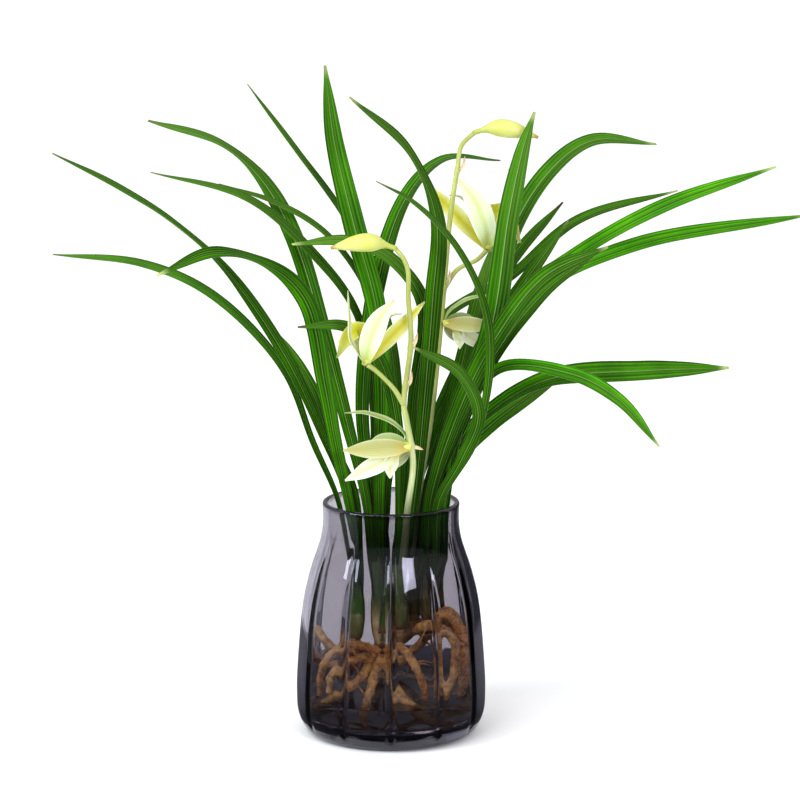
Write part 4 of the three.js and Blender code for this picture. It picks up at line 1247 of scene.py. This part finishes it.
def leaf_piece(name, leaf, material, seed):
    """One arching leaf, with its narrow folded foot that clasps the shoot."""
    skin = Skin("underside", *LEAF_MARKS)
    stops = walk(leaf["route"], LEAF_STEPS)
    tip, direction = stops[-1]
    stops[-1] = (tip - direction * TIP_SHORT, direction)
    sheathed = sheathed_stops(SHOOTS[leaf["shoot"] - 1], stops[0][0])
    sunk = len(sheathed)
    stops = sheathed + stops
    rings = []
    along = []
    for index, stop in enumerate(stops):
        fraction = max(index - sunk, 0) / LEAF_STEPS
        roll = smooth_sample(leaf["roll"], fraction) + wobble(seed, fraction * 5, ROLL_WAVER) * fraction
        half = leaf["width"] / 2 * smooth_sample(LEAF_SHAPE, fraction)
        half *= 1 + wobble(seed + 9, fraction * 9, WIDTH_WAVER)
        depth = max(sunk - index, 0) / sunk
        half *= 1 - FOOT_NARROWING * depth
        fold = smooth_sample(LEAF_FOLD, fraction) + wobble(seed + 3, fraction * 7, FOLD_WAVER)
        tilt = math.radians(fold + FOOT_FOLDING * depth)
        centre, normal, across = blade_frame(stop, roll)
        waver = wobble(seed + 5, fraction * 8, ROUTE_WAVER)
        centre = centre + normal * waver * math.sin(math.pi * fraction)
        frame_here = (centre, normal, across)
        rings.append(blade_ring(frame_here, half, tilt, LEAF_COLUMNS, LEAF_EDGE, LEAF_RIB))
        along.append(fraction)
    columns = len(LEAF_COLUMNS)
    under = [0.0] * columns + [1.0] * columns
    look = dict(zip(LEAF_MARKS, leaf["look"]))
    skin.add(rings, blade_map(LEAF_COLUMNS), along, underside=under, **look)
    stand_for(skin.build(f"blade_{name}", [material]), "leaf", name)


def add_tepal(skin, tepal, place, mirror, scale, slot, seed, ruffle=TEPAL_RUFFLE):
    """One tepal or lobe of a lip, cupped across and slightly waved along its edges."""
    stops = walk([place(point) for point in tepal["route"]], TEPAL_STEPS)
    along = even_steps(TEPAL_STEPS)
    rings = []
    for fraction, stop in zip(along, stops):
        roll = mirror * smooth_sample(tepal["roll"], fraction)
        half = tepal["width"] * scale / 2 * smooth_sample(TEPAL_SHAPE, fraction)
        tilt = math.radians(smooth_sample(TEPAL_FOLD, fraction))
        wave = ruffle * math.sin(fraction * RUFFLE_PACE + seed) * math.sin(math.pi * fraction)
        rings.append(
            blade_ring(blade_frame(stop, roll), half, tilt, TEPAL_COLUMNS, TEPAL_EDGE, TEPAL_RIB,
                cup=TEPAL_CUP, ruffle=wave)
        )
    skin.add(rings, blade_map(TEPAL_COLUMNS), along, slot)


def bloom_pieces(place_name, bloom, finishes, seed):
    """An open bloom: five tepals round the column, and the lip on its own."""
    kind, centre, mirror, scale = bloom["kind"], bloom["centre"], bloom["mirror"], bloom["scale"]

    def place(point):
        x, y, z = point
        return (centre[0] + mirror * scale * x, centre[1] + scale * y, centre[2] + scale * z)

    names = sorted({tepal["finish"] for tepal in kind["tepals"]})
    flower = Skin()
    for index, tepal in enumerate(kind["tepals"]):
        add_tepal(flower, tepal, place, mirror, scale, names.index(tepal["finish"]), seed + index)
    column = kind["column"]
    route = [place(point) for point in column["route"]]
    radii = [radius * scale for radius in column["radii"]]
    add_rod(flower, route, radii, COLUMN_SIDES, COLUMN_STEPS, len(names))
    materials = [finishes[name] for name in names] + [finishes["column"]]
    stand_for(flower.build(f"flower_{place_name}", materials), "petal", f"bloom_{place_name}")
    lip = Skin()
    lip_names = sorted({lobe["finish"] for lobe in kind["lip"]})
    for index, lobe in enumerate(kind["lip"]):
        slot = lip_names.index(lobe["finish"])
        add_tepal(lip, lobe, place, mirror, scale, slot, seed + 20 + index, ruffle=LIP_RUFFLE)
    built = lip.build(f"labellum_{place_name}", [finishes[name] for name in lip_names])
    stand_for(built, "lip", f"lip_{place_name}")


def bud_piece(name, bud, material):
    """A closed bud: three sepals lapped lengthwise, with a groove at each seam."""

    def seams(angle, fraction):
        turned = angle + 0.6 * fraction
        groove = min(abs(math.sin(1.5 * turned)) * 3, 1)
        return -SEAM_DEPTH * (1 - groove) * math.sin(math.pi * min(fraction * 1.2, 1))

    foot, onward = Vector(bud["route"][0]), Vector(bud["route"][1])
    drawn = foot - (onward - foot).normalized() * BUD_OVERLAP
    skin = Skin()
    radii = [bud["radii"][0], *bud["radii"]]
    add_rod(skin, [drawn, *bud["route"]], radii, BUD_SIDES, BUD_STEPS, relief=seams)
    stand_for(skin.build(f"closed_{name}", [material]), "bud", name)


def add_bract(skin, route, slot):
    """A small bract that clasps the stem at its foot."""
    along = even_steps(BRACT_STEPS)
    tilt = math.radians(BRACT_FOLD)
    rings = []
    for fraction, stop in zip(along, walk(route, BRACT_STEPS)):
        half = BRACT_WIDTH / 2 * smooth_sample(BRACT_SHAPE, fraction)
        rings.append(
            blade_ring(blade_frame(stop, 0), half, tilt, TEPAL_COLUMNS, BRACT_EDGE, BRACT_RIB,
                cup=BRACT_CUP)
        )
    skin.add(rings, blade_map(TEPAL_COLUMNS), along, slot)


def spike_piece(name, spike, stem_material, bract_material):
    """A flower stem with its side stalks, a low joint at each bract, and the bracts."""
    joints = [Vector(bract[0]) for bract in spike["bracts"]]
    stops = walk(spike["stem"], STEM_STEPS)
    nearest = [min(range(len(stops)), key=lambda i: (stops[i][0] - joint).length) for joint in joints]
    places = [index / STEM_STEPS for index in nearest]

    def swelling(angle, fraction):
        near = min(abs(fraction - place) for place in places)
        joint = JOINT_SWELL * math.exp(-((near / JOINT_LENGTH) ** 2))
        return joint + 0.03 * math.sin(angle * 5 + fraction * 9)

    skin = Skin()
    add_rod(skin, spike["stem"], spike["radii"], STEM_SIDES, STEM_STEPS, relief=swelling)
    for stalk in spike["stalks"]:
        radii = [stalk["radius"] * share for share in STALK_TAPER]
        add_rod(skin, stalk["route"], radii, STALK_SIDES, STALK_STEPS)
    for bract in spike["bracts"]:
        add_bract(skin, bract, 1)
    stand_for(skin.build(f"stem_{name}", [stem_material, bract_material]), "spike", name)


def sheath_rings(stops, radii, start, end, facing, seed):
    """A thin sheath wrapped round a shoot: nearly closed at its foot and open to a point at its tip."""
    rings = []
    for share in even_steps(SHEATH_ROWS):
        fraction = start + (end - start) * share
        index = min(fraction, 1) * (len(stops) - 1)
        centre, direction = stops[int(index)]
        centre = centre + direction * max(fraction - 1, 0) * SHOOT_LENGTH
        side = Vector((math.cos(facing), math.sin(facing), 0))
        side = (side - direction * side.dot(direction)).normalized()
        other = direction.cross(side)
        spread = math.radians(SHEATH_WRAP - SHEATH_OPENING * share) * (1 - share**4) + 0.1
        radius = smooth_sample(radii, min(fraction, 1)) * (1.04 + 0.12 * math.sin(math.pi * share))
        radius += wobble(seed, share * 3, 0.5)
        outer = []
        inner = []
        for column in range(SHEATH_COLUMNS):
            angle = (column / (SHEATH_COLUMNS - 1) * 2 - 1) * spread
            lean = side * math.cos(angle) + other * math.sin(angle)
            ridge = 0.1 * math.cos(column * math.pi)
            outer.append(centre + lean * (radius + ridge))
            inner.append(centre + lean * (radius - SHEATH_THICKNESS))
        rings.append(outer + inner[::-1])
    return rings


def shoot_piece(number, shoot, bulb_material, sheath_material, seed):
    """A small ribbed bulb inside four lapped sheaths."""
    draw = random.Random(seed)
    aged = shoot["aged"]
    radii = [radius * share for radius, share in zip(shoot["radii"], SHOOT_WAIST)]
    skin = Skin("layer", "aged")

    def ribs(angle, fraction):
        return 0.035 * math.sin(angle * 9 + fraction * 4) - 0.04

    add_rod(skin, shoot["route"], radii, BULB_SIDES, BULB_STEPS, relief=ribs, aged=aged)
    stops = walk(shoot["route"], BULB_STEPS)
    us = even_steps(SHEATH_COLUMNS - 1)
    for layer, (start, end) in enumerate(SHEATH_SPANS):
        facing = draw.uniform(0, 2 * math.pi) + layer * math.pi
        rings = sheath_rings(stops, radii, start, end, facing, seed + layer)
        depth = layer / (len(SHEATH_SPANS) - 1)
        skin.add(rings, us + us[::-1], even_steps(SHEATH_ROWS), 1, layer=depth, aged=aged)
    stand_for(skin.build(f"sheathed_shoot_{number}", [bulb_material, sheath_material]), "shoot",
        f"shoot_{number}")


def root_relief(seed, size):
    """Knobs and wrinkles for a root."""

    def relief(angle, fraction):
        spot = Vector((math.cos(angle) * 0.9 + seed, math.sin(angle) * 0.9, fraction * 14))
        fine = Vector((math.cos(angle) * 2.5, math.sin(angle) * 2.5 + seed, fraction * 60))
        return noise.noise(spot) * size + noise.noise(fine) * size * 0.35

    return relief


def rootlet_route(draw, start, direction):
    """A fine side root that leaves a root sideways and turns down."""
    sideways = Vector((draw.uniform(-1, 1), draw.uniform(-1, 1), draw.uniform(-0.5, 0.3)))
    sideways = (sideways - direction * sideways.dot(direction)).normalized()
    length = draw.uniform(6, 15)
    return [start + sideways * length * share + Vector((0, 0, -length * 0.5 * share * share))
        for share in (0, 0.35, 0.7, 1)]


def inside_vase(points):
    return all(math.hypot(point.x, point.y) < ROOTLET_REACH and point.z > FLOOR_TOP + 2
        for point in points)


def root_piece(material):
    """The rhizome, its thick wrinkled roots and their fine side roots, one grown mass."""
    draw = random.Random(ROOT_SEED)
    skin = Skin("thin", "crown")
    add_rod(skin, RHIZOME, [RHIZOME_RADIUS] * 2, RHIZOME_SIDES, RHIZOME_STEPS,
        relief=root_relief(3, KNOB_RELIEF), crown=0.75)
    for place, _ in walk(RHIZOME, KNOBS):
        sideways = Vector((draw.uniform(-0.6, 0.6), draw.uniform(-1, 1), draw.uniform(-1, 0.6))).normalized()
        route = [place, place + sideways * 4, place + sideways * draw.uniform(6, 9)]
        relief = root_relief(draw.randrange(99), KNOB_RELIEF)
        add_rod(skin, route, KNOB_RADII, KNOB_SIDES, FINE_STEPS, relief=relief, crown=0.6)
    for number, root in enumerate(ROOTS):
        radii = [share * root["radius"] for share in ROOT_TAPER]
        relief = root_relief(number, ROOT_RELIEF)
        add_rod(skin, root["route"], radii, ROOT_SIDES, ROOT_STEPS, relief=relief)
        stops = walk(root["route"], ROOTLET_PLACES)
        for index in draw.sample(range(FIRST_ROOTLET, LAST_ROOTLET + 1), ROOTLETS):
            route = rootlet_route(draw, *stops[index])
            if inside_vase(route):
                relief = root_relief(index, ROOTLET_RELIEF)
                add_rod(skin, route, ROOTLET_RADII, FINE_SIDES, FINE_STEPS, relief=relief, thin=1.0)
    stand_for(skin.build("root_mass", [material]), "root", "roots")


def flute_swell(height):
    rise = smoothstep(height, FLUTE_FOOT, FLUTE_FOOT + FLUTE_FADE / 2)
    fall = smoothstep(height, VASE_HEIGHT - 2 * FLUTE_FADE, VASE_HEIGHT - FLUTE_FADE / 4)
    return FLUTE_DEPTH * rise * (1 - fall)


def spline_profile(points, steps):
    return [(stop.x, stop.z) for stop, _ in walk([(r, 0, z) for r, z in points], steps)]


def crease_depth(angle):
    """How deep in a crease between two flutes a direction lies, from 0 to 1."""
    turn = 2 * math.pi / FLUTES
    away = (angle + turn / 2) % turn - turn / 2
    return math.exp(-((away / CREASE_WIDTH) ** 2))


def turned(name, profile, material, fluted_rows=0):
    """A body of revolution from a profile of radius and height, its first rows fluted."""
    points = []
    faces = []
    creases = []
    for row, (radius, height) in enumerate(profile):
        swell = flute_swell(height) if row < fluted_rows and radius > 1 else 0
        for side in range(VASE_SIDES):
            angle = 2 * math.pi * side / VASE_SIDES
            crease = crease_depth(angle)
            reach = radius + swell * (1 - 2 * crease)
            points.append(Vector((math.cos(angle) * reach, math.sin(angle) * reach, height)) * MM)
            creases.append(crease * swell / FLUTE_DEPTH)
    for row in range(len(profile) - 1):
        for side in range(VASE_SIDES):
            a = row * VASE_SIDES + side
            b = row * VASE_SIDES + (side + 1) % VASE_SIDES
            faces.append((a, b, b + VASE_SIDES, a + VASE_SIDES))
    mesh = bpy.data.meshes.new(name)
    mesh.from_pydata(points, [], faces)
    add_mark(mesh, "crease", creases)
    mesh.materials.append(material)
    smooth_outside(mesh, weld=1e-6)
    return put_in_scene(name, mesh)


def inner_radius(height):
    """Radius of the inside of the wall at a height."""
    for (low_r, low_z), (high_r, high_z) in zip(VASE_SIDE, VASE_SIDE[1:]):
        if low_z <= height <= high_z:
            share = (height - low_z) / (high_z - low_z)
            return low_r + (high_r - low_r) * share - WALL
    return RIM_RADIUS - WALL


def floor_corner():
    """Profile points where the inside of the wall rounds over into the vase's floor, from the wall in."""
    corner = inner_radius(CORNER_LEVEL) - CORNER_INSET
    return (corner, FLOOR_TOP + CORNER_RISE), (corner - CORNER_WIDTH, FLOOR_TOP)


def vase_piece(material):
    """The vase: a solid foot, a fluted belly and a rim rounded over by fire."""
    bead = WALL / 2
    rim = []
    for step in range(RIM_STEPS + 1):
        angle = math.pi * step / RIM_STEPS
        radius = RIM_RADIUS - bead + math.cos(angle) * bead
        rim.append((radius, VASE_HEIGHT - bead + math.sin(angle) * bead))
    below_rim = VASE_HEIGHT - bead - 0.5
    outside = [(0, 0), (20, 0), (40, 0), (FOOT_RADIUS - FOOT_ROUNDING, 0)]
    outside += spline_profile([(FOOT_RADIUS, 0.2), *VASE_SIDE, (RIM_RADIUS, below_rim)], OUTSIDE_STEPS)
    inside = [(r - WALL, z) for r, z in VASE_SIDE if z > FLOOR_TOP + 6][::-1]
    down = [(RIM_RADIUS - WALL, below_rim), *inside, *floor_corner()]
    inner = spline_profile(down, INSIDE_STEPS) + [(30, FLOOR_TOP), (12, FLOOR_TOP), (0, FLOOR_TOP)]
    piece = turned("fluted_vase", outside + rim + inner, material, fluted_rows=len(outside))
    stand_for(piece, "smoked_glass", "vase")


def water_piece(material):
    """The water, with its edge drawn up the glass."""
    level = WATER_LEVEL
    wall = inner_radius(level + MENISCUS)
    floor = FLOOR_TOP + WATER_CLEARANCE
    bottom = [(0, floor), (12, floor), (30, floor)]
    corner, (flat_radius, _) = floor_corner()
    up = [(flat_radius, floor), corner, (inner_radius(20), 20), (wall, level + MENISCUS)]
    side = spline_profile(up, WATER_STEPS)
    top = [(wall - 0.5, level + 0.6), (wall - 1.4, level + 0.2), (wall - 3, level), (30, level),
        (12, level), (0, level)]
    piece = turned("still_water", bottom + side + top, material)
    stand_for(piece, "water", "water")


def lay_floor():
    """A big plain floor, so that the camera sees no edge of it."""
    mesh = bpy.data.meshes.new("studio_floor")
    corners = [(FLOOR_REACH * x, FLOOR_REACH * y, 0) for x, y in ((-1, -1), (1, -1), (1, 1), (-1, 1))]
    mesh.from_pydata(corners, [], [(0, 1, 2, 3)])
    mesh.materials.append(floor_material())
    put_in_scene("studio_floor", mesh)


def point_along(thing, direction):
    """Turns a lamp or the camera to look in a direction."""
    thing.rotation_euler = direction.to_track_quat("-Z", "Y").to_euler()


def add_lamp(name, place, aim, size, power, colour):
    """A soft rectangular lamp that shines towards a point."""
    lamp = bpy.data.lights.new(name, "AREA")
    lamp.shape = "RECTANGLE"
    lamp.size, lamp.size_y = size
    lamp.energy = power
    lamp.color = colour
    made = put_in_scene(name, lamp)
    made.location = place
    point_along(made, Vector(aim) - Vector(place))


def glass_only_strip(name, inner, outer, first, last, material):
    """A strip round the vase between two edges (radius and height), for the glass alone to see: it
    leaves the picture and its light as they are."""
    corners = []
    for share in even_steps(SCREEN_STEPS):
        angle = math.radians(first + (last - first) * share)
        for radius, height in (inner, outer):
            corners.append((math.cos(angle) * radius, math.sin(angle) * radius, height))
    faces = [(2 * i, 2 * i + 2, 2 * i + 3, 2 * i + 1) for i in range(SCREEN_STEPS)]
    mesh = bpy.data.meshes.new(name)
    mesh.from_pydata(corners, [], faces)
    mesh.materials.append(material)
    screen = put_in_scene(name, mesh)
    screen.visible_camera = False
    screen.visible_diffuse = False
    screen.visible_shadow = False


def stand_screen():
    """A low screen round the vase, open at the back and grey to the left, and a mat at its foot."""
    dark = screen_material("dark screen", SCREEN_DARK, SCREEN_DARKER)
    grey = screen_material("grey screen", SCREEN_GREY, SCREEN_GREYER)
    mat = screen_material("dark mat", MAT_DARK, MAT_DARKER)
    low, high = (SCREEN_RADIUS, SCREEN_LIFT), (SCREEN_RADIUS, SCREEN_HEIGHT)
    inside = (MAT_INSIDE, SCREEN_LIFT)
    glass_only_strip("grey_screen", low, high, 90 + SCREEN_GAP, SCREEN_TURN, grey)
    glass_only_strip("dark_screen", low, high, SCREEN_TURN, 450 - SCREEN_GAP, dark)
    around = (90 + SCREEN_GAP, 450 - SCREEN_GAP)
    behind = (90 - SCREEN_GAP, 90 + SCREEN_GAP)
    glass_only_strip("dark_mat", inside, low, *around, mat)
    glass_only_strip("dark_mat_behind", inside, (MAT_BEHIND, SCREEN_LIFT), *behind, mat)


def paint_room():
    """A room that is pale above and darker all around."""
    world = bpy.data.worlds.new("pale room")
    world.use_nodes = True
    tree = world.node_tree
    direction = tree.nodes.new("ShaderNodeTexCoord").outputs["Generated"]
    upward = add_node(tree, "ShaderNodeSeparateXYZ", {0: direction}).outputs[2]
    strength = span(tree, upward, *ROOM_SPAN, ROOM_AROUND, ROOM_ABOVE)
    feed(tree, strength, tree.nodes["Background"].inputs["Strength"])
    tree.nodes["Background"].inputs["Color"].default_value = (1, 1, 1, 1)
    bpy.context.scene.world = world


def light_room():
    """A broad soft key and three windows."""
    key = bpy.data.lights.new("key", "SUN")
    key.energy = KEY_STRENGTH
    key.angle = math.radians(KEY_SPREAD)
    point_along(put_in_scene("key", key), Vector(KEY_DIRECTION))
    for name, (turn, height, size, power, colour) in WINDOWS.items():
        side = math.sin(math.radians(turn)) * WINDOW_AWAY
        front = -math.cos(math.radians(turn)) * WINDOW_AWAY
        add_lamp(name, (side, front, height), WINDOW_AIM, size, power, colour)


def place_camera():
    camera = bpy.data.cameras.new("photo_view")
    camera.lens = LENS
    camera.sensor_width = 36
    camera.clip_end = 200
    made = put_in_scene("photo_view", camera)
    made.location = EYE
    point_along(made, AIM - EYE)
    bpy.context.scene.camera = made


def dress_plant():
    leaf = leaf_material()
    for seed, (name, row) in enumerate(LEAVES.items()):
        leaf_piece(name, row, leaf, seed)
    bulb, sheath = bulb_material(), sheath_material()
    for number, shoot in enumerate(SHOOTS, 1):
        shoot_piece(number, shoot, bulb, sheath, 100 + number)
    root_piece(root_material())
    stem, bract = stem_material(), bract_material()
    for name, spike in SPIKES.items():
        spike_piece(name, spike, stem, bract)
    bud = bud_material()
    for name, row in BUDS.items():
        bud_piece(name, row, bud)
    finishes = petal_materials()
    for seed, (place_name, bloom) in enumerate(BLOOMS.items()):
        bloom_pieces(place_name, bloom, finishes, seed * 40)


place_camera()
bpy.context.scene.view_settings.view_transform = "Standard"
vase_piece(glass_material())
water_piece(water_material())
dress_plant()
lay_floor()
stand_screen()
paint_room()
light_room()
